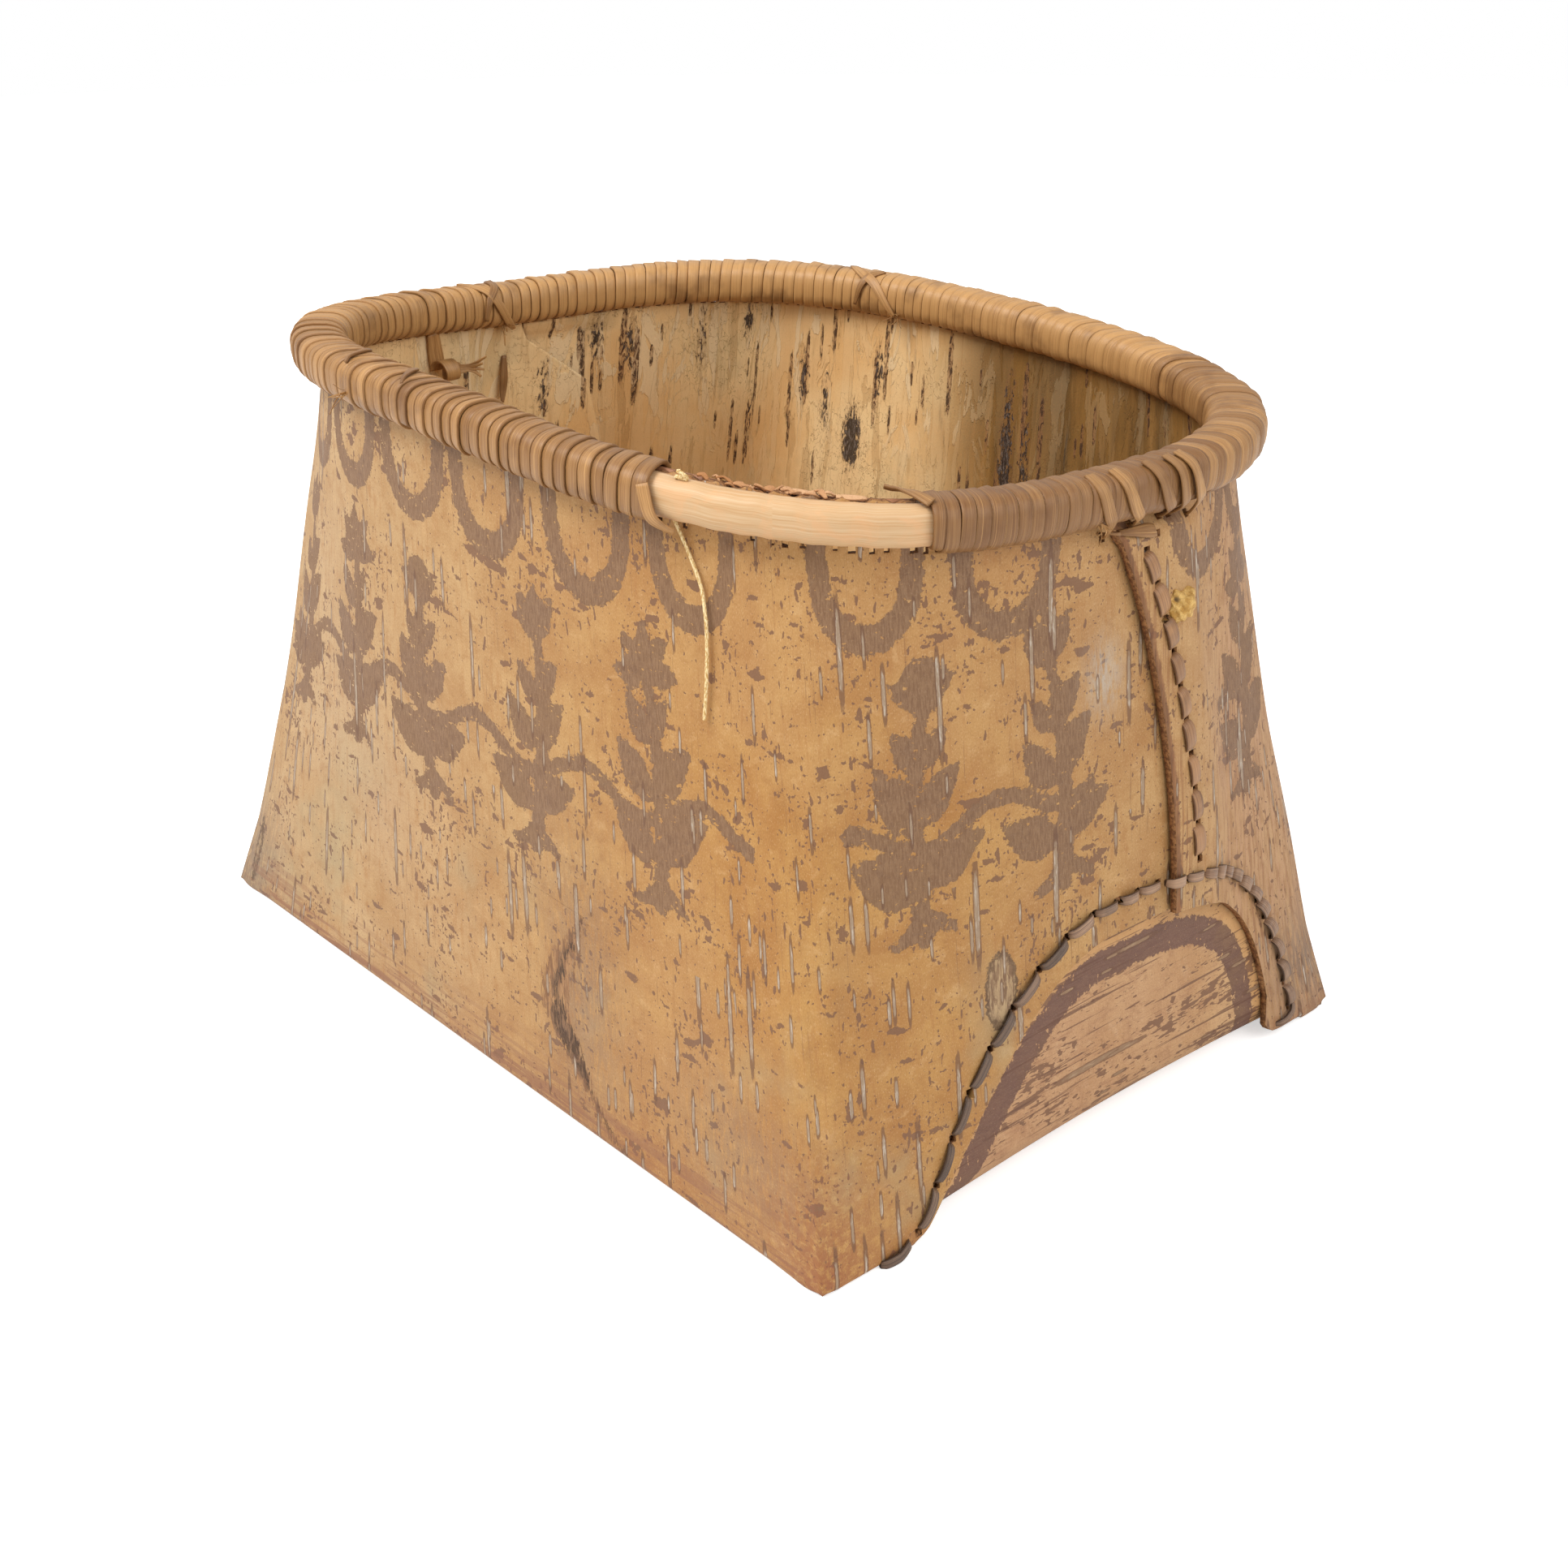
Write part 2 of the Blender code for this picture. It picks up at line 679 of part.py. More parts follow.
def build_tie(name, end, finish_material):
    """The short strip that ties both flaps under the rim."""
    band = band_height(end, 0)
    height = band - TIE_DROP
    edge = seam_q(height, band)
    marks = [TIE_FRONT / HALF_WIDTH, edge - SEAM_CLIMB / HALF_WIDTH, edge - SEAM_CLEAR / HALF_WIDTH]
    marks += [lerp(edge, TIE_BACK / HALF_WIDTH, (k + 1) / TIE_POINTS) for k in range(TIE_POINTS)]
    rings = []
    for q in marks:
        lift = lift_at(q, height, band) + GAP + TIE_SEAT
        half = TIE_WIDTH / 2
        corners = ((-half, 0.0), (-half, TIE_THICK), (half, TIE_THICK), (half, 0.0))
        rings.append([wall_point(end, q, height + dz, lift + out) for dz, out in corners])
    return sweep(name, rings, finish_material)


# Small things


def build_plug(name, finish_material):
    """A lump of dried pitch on the over flap, flat where it sits."""
    built = bmesh.new()
    bmesh.ops.create_icosphere(built, subdivisions=2, radius=1.0)
    bmesh.ops.bisect_plane(
        built, geom=built.verts[:] + built.edges[:] + built.faces[:],
        plane_co=(0, 0, 0), plane_no=(0, 0, 1), clear_inner=True,
    )
    bmesh.ops.holes_fill(built, edges=built.edges)
    band = band_height(1, SEAM_TOP / HALF_WIDTH)
    q = seam_q(PLUG_HEIGHT, band) + PLUG_FROM_SEAM / HALF_WIDTH
    half = PLUG_WIDTH / 2 / HALF_WIDTH
    near, far = (
        wall_point(1, place, PLUG_HEIGHT, lift_at(place, PLUG_HEIGHT, band))
        for place in (q - half, q + half)
    )
    seat = wall_point(1, q, PLUG_HEIGHT, lift_at(q, PLUG_HEIGHT, band))
    across = (far - near).normalized()
    upward = (wall_point(1, q, PLUG_HEIGHT + PLUG_TALL / 2) - wall_point(1, q, PLUG_HEIGHT)).normalized()
    outward = across.cross(upward)
    seat += outward * (GAP + PLUG_SEAT)
    for vert in built.verts:
        x, y, z = vert.co
        uneven = 1 + PLUG_UNEVEN * math.sin(5 * x + 2) * math.cos(4 * y)
        vert.co = seat + across * x * PLUG_WIDTH / 2 * uneven + upward * y * PLUG_TALL / 2 * uneven
        vert.co += outward * z * PLUG_THICK * uneven
    bmesh.ops.recalc_face_normals(built, faces=built.faces)
    return finish(name, built, finish_material)


def build_curl(name, finish_material):
    """The spare end of a root, curled up inside the left end under the rim."""
    q = CURL_PLACE / HALF_WIDTH
    inner = -(BARK + GAP)
    seat = rim_point(-1, q, inner, 0)
    seat.z = band_height(-1, q) - CURL_DROP
    seat.x = wall_point(-1, q, seat.z, inner).x
    centre = seat + Vector((CURL_DIAMETER / 2 + CURL_THICK, 0, 0))
    rings = []
    steps = round(CURL_TURNS * CURL_POINTS)
    for k in range(steps + 1):
        turn = 2 * math.pi * k / CURL_POINTS
        radius = CURL_DIAMETER / 2 * lerp(1.0, CURL_INNER, k / steps)
        slide = CURL_SLIDE * k / steps
        direction = Vector((-math.cos(turn), 0, math.sin(turn)))
        ring = []
        for out, side in ((0, -1), (1, -1), (1, 1), (0, 1)):
            point = centre + direction * (radius - CURL_THICK * (1 - out))
            ring.append(point + Vector((0, slide + side * CURL_WIDTH / 2, 0)))
        rings.append(ring)
    return sweep(name, rings, finish_material)


def build_thread(name, finish_material):
    """The loose thread: it comes out under the bare hoop's end and hangs on the front wall.

    The route gives places along the front wall from its middle, and heights.
    """
    route = (
        (0.1176, 0.2033), (0.1191, 0.2014), (0.1241, 0.1951), (0.1293, 0.1871),
        (0.1310, 0.1800), (0.1313, 0.1724), (0.1303, 0.1620), (0.1285, 0.1514),
    )
    seat = GAP + THREAD_DIAMETER * THREAD_LIFT
    points = [wall_point(x / HALF_LENGTH, -1, z, seat) for x, z in route]
    smooth = []
    for i in range(len(points) - 1):
        before, after = points[max(i - 1, 0)], points[min(i + 2, len(points) - 1)]
        a, b = points[i], points[i + 1]
        for k in range(THREAD_POINTS):
            t = k / THREAD_POINTS
            m0, m1 = (b - before) / 2, (after - a) / 2
            smooth.append(
                a * (2 * t**3 - 3 * t**2 + 1) + m0 * (t**3 - 2 * t**2 + t)
                + b * (-2 * t**3 + 3 * t**2) + m1 * (t**3 - t**2)
            )
    smooth.append(points[-1])
    curve = bpy.data.curves.new(name, "CURVE")
    curve.dimensions = "3D"
    curve.bevel_depth = THREAD_DIAMETER / 2
    curve.bevel_resolution = 2
    curve.use_fill_caps = True
    spline = curve.splines.new("POLY")
    spline.points.add(len(smooth) - 1)
    for target, point in zip(spline.points, smooth):
        target.co = (*point, 1)
    curve.materials.append(finish_material)
    made = bpy.data.objects.new(name, curve)
    bpy.context.scene.collection.objects.link(made)
    length = sum((b - a).length for a, b in zip(smooth, smooth[1:]))
    print(f"{name}: {length * 1000:.1f} mm long")
    return made


def main():
    for old in list(bpy.data.objects):
        bpy.data.objects.remove(old)
    bark_finish = material("birch bark", (0.54, 0.33, 0.13), 0.62)
    outer_finish = material("peeled wood", (0.73, 0.50, 0.26), 0.5)
    inner_finish = material("red-brown wood", (0.36, 0.19, 0.10), 0.6)
    root_finish = material("split root", (0.38, 0.21, 0.11), 0.5)
    stitch_finish = material("dark stitching root", (0.22, 0.15, 0.11), 0.5)
    pitch_finish = material("dried pitch", (0.58, 0.42, 0.17), 0.6)
    thread_finish = material("plant thread", (0.62, 0.47, 0.28), 0.8)

    table = rim_table()
    spans = root_spans(table)
    slots = [tuple(place_at(table, length) for length in span) for span in spans]
    places = build_bark(bark_finish, slots)
    build_hoop("outer_hoop", True, places, outer_finish)
    build_hoop("inner_hoop", False, places, inner_finish)
    for number, (span, turns) in enumerate(zip(spans, ROOT_TURNS), 1):
        build_root(f"rim_root_{number}", table, span, turns, places, root_finish)
    for end, word in ((1, "right"), (-1, "left")):
        line = arch_line()
        build_stitching(f"arch_stitching_{word}", end, line, ARCH_STITCHES, stitch_finish)
        build_stitching(f"seam_stitching_{word}", end, seam_line(end), SEAM_STITCHES, root_finish)
        build_tie(f"seam_tie_{word}", end, stitch_finish)
    build_plug("pitch_plug", pitch_finish)
    build_curl("root_curl", root_finish)
    build_thread("loose_thread", thread_finish)


main()
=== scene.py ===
"""Birch bark mocock: its looks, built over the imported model.

Metres, +Z up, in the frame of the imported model. A place on the wall is given by a point (cx, cy) on the
edge of the square from -1 to 1, and by its height. Along the edge, place runs from -1 to 1 over the right
end, then over the back to 3, the left end to 5 and the front to 7.
"""

import math
from contextlib import contextmanager

import bmesh
import bpy
import numpy as np
from bpy.props import FloatProperty, IntProperty, PointerProperty
from mathutils import Matrix, Vector


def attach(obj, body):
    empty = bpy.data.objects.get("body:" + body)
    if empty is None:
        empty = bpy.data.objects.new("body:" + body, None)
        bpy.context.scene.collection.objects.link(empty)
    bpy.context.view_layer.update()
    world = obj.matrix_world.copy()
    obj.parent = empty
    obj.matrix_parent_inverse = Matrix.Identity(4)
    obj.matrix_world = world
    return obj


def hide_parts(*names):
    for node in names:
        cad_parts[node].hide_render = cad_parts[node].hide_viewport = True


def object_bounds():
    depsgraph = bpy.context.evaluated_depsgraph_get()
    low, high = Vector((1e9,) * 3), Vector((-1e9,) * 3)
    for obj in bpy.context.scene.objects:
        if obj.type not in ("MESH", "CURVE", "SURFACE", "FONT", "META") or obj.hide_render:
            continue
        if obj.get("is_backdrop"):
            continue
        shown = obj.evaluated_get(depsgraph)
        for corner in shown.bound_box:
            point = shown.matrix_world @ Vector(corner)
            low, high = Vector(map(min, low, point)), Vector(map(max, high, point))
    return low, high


bl_info = {
    "name": "Birch bark mocock",
    "version": (1, 0, 0),
    "blender": (4, 5, 0),
    "location": "3D View > Sidebar > Mocock",
    "description": "Builds the bark, rim, seams and small things of a birch bark container",
    "category": "Add Mesh",
}

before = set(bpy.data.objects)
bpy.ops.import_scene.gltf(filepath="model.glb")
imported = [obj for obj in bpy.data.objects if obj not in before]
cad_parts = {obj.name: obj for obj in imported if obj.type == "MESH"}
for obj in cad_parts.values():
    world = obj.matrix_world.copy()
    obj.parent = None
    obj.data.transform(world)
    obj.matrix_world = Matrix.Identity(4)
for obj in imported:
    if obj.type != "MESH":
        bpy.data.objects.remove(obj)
CAD_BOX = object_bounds()


def length(name, default, description):
    return FloatProperty(name=name, description=description, default=default, unit="LENGTH", precision=5)


def number(name, default, description):
    return FloatProperty(name=name, description=description, default=default, precision=4)


def count(name, default, description):
    return IntProperty(name=name, description=description, default=default, min=1)


class MocockForm(bpy.types.PropertyGroup):
    """Sizes of the sheet and the rim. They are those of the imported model."""

    base_length: length("Base length", 0.340, "Floor along X, over the bark")
    base_width: length("Base width", 0.2383, "Floor along Y, over the bark")
    rim_length: length("Rim length", 0.285192, "Bark at the rim along X")
    rim_width: length("Rim width", 0.2340106, "Bark at the rim along Y")
    rim_height: length("Rim height", 0.2077, "Middle of the hoops above the floor")
    squareness: number("Squareness", 3.03, "Power of the rim's rounded oblong")
    shift_x: length("Rim shift X", 0.0042, "Rim's middle along X")
    shift_y: length("Rim shift Y", 0.0042, "Rim's middle along Y")
    rise_x: length("Rise X", -0.0050, "How much the rim rises towards +X")
    rise_y: length("Rise Y", -0.0038, "How much the rim rises towards +Y")
    saddle: length("Saddle", -0.0037, "How much the ends rise over the sides")
    corner_pull: number("Corner pull", 0.016, "How far the back right corner is pulled out")
    belly_left: number("Belly left", 0.19, "Bow of the wall at the left end")
    belly_right: number("Belly right", 0.09, "Bow of the wall at the right end")
    bark: length("Bark", 0.0023, "Thickness of the sheet")
    gap: length("Gap", 0.0003, "Space between touching pieces")
    lap: length("Lap", 0.0030, "How far the over flap stands out")
    side_fold: length("Side fold", 0.0030, "Radius of the fold under a long wall")
    foot_fold: length("Foot fold", 0.0026, "Radius of the fold under an end's feet")
    end_fold: length("End fold", 0.0120, "Radius of the fold under a tongue")
    over_rim: length("Bark over rim", 0.0046, "Bark's edge above the hoops' middle")
    arch_middle: length("Arch middle", 0.0050, "Middle of the arch along the end")
    arch_height: length("Arch height", 0.0660, "Height of the arch")
    arch_power: number("Arch power", 1.35, "Shape of the arch's front leg")
    arch_front: length("Arch front", 0.0880, "Reach of the arch's front leg")
    arch_back: length("Arch back", 0.0800, "Reach of the arch's back leg")
    foot_back: length("Back foot", 0.1040, "Where the back foot ends")
    foot_lift: length("Foot lift", 0.0015, "Height of the back foot's edge")
    seam_low: length("Seam low", 0.0308, "Seam's place at the arch")
    seam_top: length("Seam top", 0.0045, "Seam's place at the rim")
    seam_bend: number("Seam bend", 2.2, "How the seam leans")
    overlap: length("Overlap", 0.0210, "How far the flaps lap")
    flap_ramp: length("Flap ramp", 0.0150, "Where the over flap comes down")
    seam_climb: length("Seam climb", 0.0060, "Where laid pieces start to rise at the seam")
    seam_clear: length("Seam clear", 0.0020, "Where laid pieces are up at the seam")
    corner_cut: length("Corner cut", 0.0250, "Cut corner of the hidden flap")
    tuck: length("Tuck", 0.0050, "Where the flaps end in one layer")
    butt_gap: length("Butt gap", 0.0006, "Gap between the flaps at the rim")
    tongue_height: length("Tongue height", 0.0800, "Height of the tongue")
    tongue_crown: length("Tongue crown", 0.0160, "How round the tongue's top is")
    tongue_top_front: length("Tongue top front", 0.0440, "Front corner of the tongue's top")
    tongue_top_back: length("Tongue top back", 0.0880, "Back corner of the tongue's top")
    tongue_slack: length("Tongue slack", 0.0018, "Space beside the tongue")
    hoop_out: length("Outer hoop", 0.0056, "Thickness of the outer hoop")
    hoop_in: length("Inner hoop", 0.0043, "Thickness of the inner hoop")
    hoop_height: length("Hoop height", 0.0115, "Height of the hoops")
    section_round: number("Section round", 2.9, "Power of the hoops' rounded section")
    bare_start: length("Bare start", 0.1107, "Where the bare hoop begins on the front wall")
    bare_end: length("Bare end", -0.0649, "Where the bare hoop stops on the right end")
    cell: length("Cell", 0.0021, "Size of the sheet's cells")

    @property
    def half_x(self):
        return self.base_length / 2

    @property
    def half_y(self):
        return self.base_width / 2

    @property
    def foot_front(self):
        """Where the arch's front leg meets the floor."""
        return self.arch_middle - self.arch_front

    @property
    def hoops_middle(self):
        """Middle of the two hoops, out from the bark's outer face."""
        return (self.hoop_out - self.bark - self.hoop_in) / 2


class MocockSewing(bpy.types.PropertyGroup):
    """Roots, stitches and small things."""

    root_thick: length("Root thickness", 0.0011, "Thickness of the split root")
    root_seat: length("Root seat", 0.0005, "Space between hoop and root")
    turn_gap: length("Turn gap", 0.00006, "Space between two turns")
    root_break: length("Root break", 0.0032, "Space between two roots")
    turn_rings: count("Rings per turn", 28, "Rings of the strip in one turn")
    stitch_inset: length("Stitch inset", 0.0100, "Arch stitches from the cut edge")
    stitch_width: length("Stitch width", 0.0031, "Width of a stitch")
    stitch_thick: length("Stitch thickness", 0.0012, "Thickness of a stitch")
    arch_leg: length("Leg stitch", 0.0136, "Stitch on the arch's front leg")
    arch_crown: length("Crown stitch", 0.0094, "Stitch over the arch's crown")
    arch_shoulder: length("Shoulder stitch", 0.0066, "Stitch on the arch's back shoulder")
    seam_pitch: length("Seam pitch", 0.0116, "Stitch along the upright seam")
    thread_diameter: length("Thread diameter", 0.0010, "Loose thread")
    plug_place: length("Plug place", 0.0338, "Pitch lump along the end")
    plug_height: length("Plug height", 0.1615, "Pitch lump above the floor")
    plug_width: length("Plug width", 0.0122, "Pitch lump across")
    curl_place: length("Curl place", -0.0360, "Curled root along the left end")
    curl_drop: length("Curl drop", 0.0118, "Curled root under the rim")


class MocockStage(bpy.types.PropertyGroup):
    """Camera, floor and light."""

    focal: FloatProperty(name="Focal length", description="In millimetres on a 36 mm sensor", default=45.722)
    shift_x: number("Shift X", -0.00624, "Share of the frame that the view is moved right")
    shift_y: number("Shift Y", 0.05696, "Share of the frame that the view is moved up")
    key_power: number("Key", 28.0, "Light from the upper left, in watts")
    fill_power: number("Fill", 12.0, "Light from the right, in watts")
    sky: number("Sky", 0.60, "Strength of the even light")


# Numbers and lines


def mix(a, b, t):
    return a + (b - a) * t


def unit(value):
    return np.clip(value, 0.0, 1.0)


def soft(*away):
    """1 in the middle of a soft mark, less with each distance from it, as shares of its size."""
    return np.exp(-sum(share**2 for share in away))


def directions(vectors):
    return vectors / np.linalg.norm(vectors, axis=-1, keepdims=True)


def path_lengths(points):
    return np.concatenate([[0.0], np.cumsum(np.linalg.norm(np.diff(points, axis=0), axis=1))])


def resample(points, at):
    """Points of a line at given lengths along it."""
    lengths = path_lengths(points)
    return np.stack([np.interp(at, lengths, points[:, k]) for k in range(points.shape[1])], -1)


def curved(points, steps):
    """A smooth line through rows of numbers."""
    padded = np.concatenate([points[:1], points, points[-1:]])
    slope = (padded[2:, None] - padded[:-2, None]) / 2
    at, t = points[:, None], (np.arange(steps) / steps)[:, None]
    smooth = at[:-1] * (2 * t**3 - 3 * t**2 + 1) + slope[:-1] * (t**3 - 2 * t**2 + t)
    smooth = smooth + at[1:] * (-2 * t**3 + 3 * t**2) + slope[1:] * (t**3 - t**2)
    return np.concatenate([smooth.reshape(-1, points.shape[1]), points[-1:]])


# The wall's surface


def wrapped(place):
    """The same place between -1 and 7."""
    return (np.asarray(place, float) + 1) % 8 - 1


def square(place):
    """Points of the square's edge at places along it."""
    p = wrapped(place)
    spans = [p < 1, p < 3, p < 5]
    return np.select(spans, [1.0, 2 - p, -1.0], p - 6), np.select(spans, [p, 1.0, 4 - p], -1.0)


def run_of(f, place):
    """Length along the floor's edge at a place, in metres."""
    end, side = 2 * f.half_y, 2 * f.half_x
    return np.interp(place, np.arange(-1, 10, 2), np.cumsum([-f.half_y, end, side, end, side, end]))


def rim_reach(f, cx, cy):
    pull = 1 + f.corner_pull * unit(cx) * unit(cy)
    return pull * (np.abs(cx) ** f.squareness + np.abs(cy) ** f.squareness) ** (-1 / f.squareness)


def rim_z(f, cx, cy):
    reach = rim_reach(f, cx, cy)
    saddle = f.saddle * (cx * cx - cy * cy) / (cx * cx + cy * cy)
    return f.rim_height + saddle + f.rise_x * cx * reach + f.rise_y * cy * reach


def band_z(f, cx, cy):
    """Where the wall turns straight up between the hoops."""
    return rim_z(f, cx, cy) - (f.hoop_height / 2 + 0.0028)


def rim_points(f, cx, cy, out, up):
    reach = rim_reach(f, cx, cy)
    x = (f.rim_length / 2 + out) * cx * reach + f.shift_x
    y = (f.rim_width / 2 + out) * cy * reach + f.shift_y
    return np.stack(np.broadcast_arrays(x, y, rim_z(f, cx, cy) + up), -1)


def wall_points(f, cx, cy, height, out=0.0, fold=0.0):
    """Points on the wall's outer face, or out from it. fold draws them in from a long side."""
    share = unit(height / band_z(f, cx, cy))
    belly = mix(f.belly_left, f.belly_right, (cx + 1) / 2)
    share = share + belly * share * (1 - share)
    top = rim_points(f, cx, cy, out, 0)
    x = mix((f.half_x + out) * cx, top[..., 0], share)
    y = mix((f.half_y + out - fold) * cy, top[..., 1], share)
    return np.stack(np.broadcast_arrays(x, y, height), -1)


def wall_normals(f, cx, cy, height):
    """Outward directions of the wall."""
    step = 0.001
    at = wall_points(f, cx, cy, height)
    is_side = np.abs(cx) < 1
    beside = wall_points(f, cx + step * is_side, cy + step * ~is_side, height)
    rise = wall_points(f, cx, cy, height + step) - at
    return directions(np.cross((beside - at) * np.where(is_side, -cy, cx)[..., None], rise))


def raised(f, cx, cy, height, out):
    """Points that stand out square to the wall."""
    return wall_points(f, cx, cy, height) + wall_normals(f, cx, cy, height) * out[..., None]


def arch_z(f, q):
    """Height of the arch's cut edge at q along an end, 0 where the wall still meets the floor."""
    side = q * f.half_y - f.arch_middle
    front = f.arch_height * unit(1 - (side / f.arch_front) ** 2) ** f.arch_power
    back = f.arch_height * unit(1 - (np.abs(side) / f.arch_back) ** 3) ** (1 / 3)
    height = np.where(side <= 0, front, np.maximum(back, f.foot_lift))
    return np.where((side < 1e-5 - f.arch_front) | (side > f.foot_back - f.arch_middle - 1e-5), 0.0, height)


def arch_curve(f):
    """The arch's cut edge as (y, z) points from the front foot to the back one."""
    turn = np.radians(np.arange(88, 0, -2))
    front = (f.arch_middle - f.arch_front * np.sin(turn), f.arch_height * np.cos(turn) ** (2 * f.arch_power))
    turn = np.radians(np.arange(0, 90, 2))
    back = (f.arch_middle + f.arch_back * np.sin(turn) ** (2 / 3), f.arch_height * np.cos(turn) ** (2 / 3))
    return np.concatenate([front, back], 1).T


def seam_q(f, height, band):
    """The over flap's edge, along the seam."""
    share = unit((height - f.arch_height) / (band - f.arch_height))
    return mix(f.seam_low, f.seam_top, share**f.seam_bend) / f.half_y


def hidden_q(f, height, band):
    """The under flap's edge, behind the seam."""
    share = unit((height - (band - f.corner_cut)) / (f.corner_cut - f.tuck))
    return seam_q(f, height, band) + mix(f.overlap, -f.butt_gap, share) / f.half_y


def flap_lift(f, w, height, band):
    """How far the over flap stands out, at share w of its width from its cut edge."""
    low = f.seam_low / f.half_y
    near = f.overlap / f.half_y / (1 - low)
    far = (f.overlap + f.flap_ramp) / f.half_y / (1 - low)
    return f.lap * unit((far - w) / (far - near)) * unit((band - height) / f.tuck)


def lift_at(f, q, height, band):
    """How far something laid over an end stands out at q, rising before it meets the seam."""
    edge = seam_q(f, height, band)
    before = f.lap * unit(((q - edge) * f.half_y + f.seam_climb) / (f.seam_climb - f.seam_clear))
    return np.where(q < edge, before, flap_lift(f, (q - edge) / (1 - edge), height, band))


# Meshes


@contextmanager
def edited(mesh):
    """A mesh as a bmesh, written back at the end."""
    built = bmesh.new()
    built.from_mesh(mesh)
    yield built
    built.to_mesh(mesh)
    built.free()


def grid(name, columns, rows):
    """A flat grid of cells, with each vertex's column and row."""
    mesh = bpy.data.meshes.new(name)
    with edited(mesh) as built:
        bmesh.ops.create_grid(built, x_segments=columns, y_segments=rows, size=1.0)
    flat = np.empty(len(mesh.vertices) * 3, np.float32)
    mesh.vertices.foreach_get("co", flat)
    share = (flat.reshape(-1, 3) + 1) / 2
    return mesh, np.rint(share[:, 0] * columns).astype(int), np.rint(share[:, 1] * rows).astype(int)


def set_points(mesh, points):
    mesh.vertices.foreach_set("co", np.ascontiguousarray(points, np.float32).ravel())
    mesh.update()


def set_uv(mesh, u, v):
    """A UV map from one pair of numbers per vertex."""
    layer = mesh.uv_layers.new(name="place")
    corner = np.empty(len(mesh.loops), np.int32)
    mesh.loops.foreach_get("vertex_index", corner)
    layer.data.foreach_set("uv", np.stack([u[corner], v[corner]], -1).astype(np.float32).ravel())


def set_attributes(mesh, **marks):
    """Numbers for the materials, one per vertex or one for all."""
    for name, values in marks.items():
        values = np.broadcast_to(values, len(mesh.vertices))
        mesh.attributes.new(name, "FLOAT", "POINT").data.foreach_set("value", values.astype(np.float32))


def piece(name, data, slot, node, *materials):
    """A finished piece that rides on the container and stands for a CAD node."""
    for made in materials:
        data.materials.append(made)
    if isinstance(data, bpy.types.Mesh):
        data.shade_smooth()
    made = bpy.data.objects.new(name, data)
    bpy.context.scene.collection.objects.link(made)
    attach(made, "root")
    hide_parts(node)
    return made


def tube(name, rings, along, shade=None, closed=False):
    """A closed skin over rings of points: rings is an array of (ring, side, xyz).

    along holds each ring's length for the UV map, and shade one number, or one per ring, for the material.
    """
    if closed:
        rings, along = np.concatenate([rings, rings[:1]]), np.append(along, 2 * along[-1] - along[-2])
    sides = rings.shape[1]
    loop = np.concatenate([rings, rings[:, :1]], 1)
    mesh, column, row = grid(name, len(loop) - 1, sides)
    set_points(mesh, loop[column, row])
    set_uv(mesh, along[column], row / sides)
    if shade is not None:
        set_attributes(mesh, strip=np.broadcast_to(shade, len(loop))[column])
    with edited(mesh) as built:
        bmesh.ops.remove_doubles(built, verts=built.verts, dist=1e-6)
        if not closed:
            bmesh.ops.holes_fill(built, edges=[e for e in built.edges if e.is_boundary])
        bmesh.ops.recalc_face_normals(built, faces=built.faces)
    return mesh


def joined(name, meshes, merge=0.0):
    """One mesh from several."""
    mesh = bpy.data.meshes.new(name)
    with edited(mesh) as built:
        for part in meshes:
            built.from_mesh(part)
        if merge:
            bmesh.ops.remove_doubles(built, verts=built.verts, dist=merge)
    for part in meshes:
        bpy.data.meshes.remove(part)
    return mesh


# Scraped figures. Distances are in metres, positive inside the shape


def to_line(u, z, line):
    """Distance to a line of (u, z) points, and the share along it of the nearest one."""
    best, share = np.full(np.shape(u), 9.0), np.zeros(np.shape(u))
    lengths = path_lengths(line)
    for i, (a, b) in enumerate(zip(line, line[1:])):
        d = b - a
        t = unit(((u - a[0]) * d[0] + (z - a[1]) * d[1]) / (d @ d))
        away = np.hypot(u - a[0] - t * d[0], z - a[1] - t * d[1])
        share = np.where(away < best, mix(lengths[i], lengths[i + 1], t) / lengths[-1], share)
        best = np.minimum(best, away)
    return best, share


def bent(u0, z0, u1, z1, bow):
    """A line from one point to another that bows sideways."""
    t = np.linspace(0, 1, 9)
    du, dz = u1 - u0, z1 - z0
    side = bow * 4 * t * (1 - t)
    span = math.hypot(du, dz)
    return np.stack([u0 + du * t - dz / span * side, z0 + dz * t + du / span * side], -1)


def stroke(u, z, line, start, stop):
    """A stroke whose half width goes from start to stop."""
    away, share = to_line(u, z, line)
    return mix(start, stop, share) - away


def leaf(u, z, u0, z0, angle, size, plump):
    """A pointed leaf from its foot, at an angle from upright."""
    line = bent(u0, z0, u0 + size * math.sin(angle), z0 + size * math.cos(angle), size * 0.06)
    away, share = to_line(u, z, line)
    return size * plump * np.sin(math.pi * share**0.8) - away - 0.0002


# Leaves of a plant's stem: (share of its height, size), and of its head, for each variety: (angles, drop,
# size, plumpness)
STEM_LEAVES = ((0.20, 0.027), (0.46, 0.024), (0.70, 0.017))
HEAD_LEAVES = (
    ((-1.56, -0.78, 0.0, 0.78, 1.56), 0.003, 0.0165, 0.26),
    ((-1.1, 1.1), 0.004, 0.0145, 0.24),
    ((-0.6, 0.0, 0.6), 0.004, 0.0175, 0.27),
)


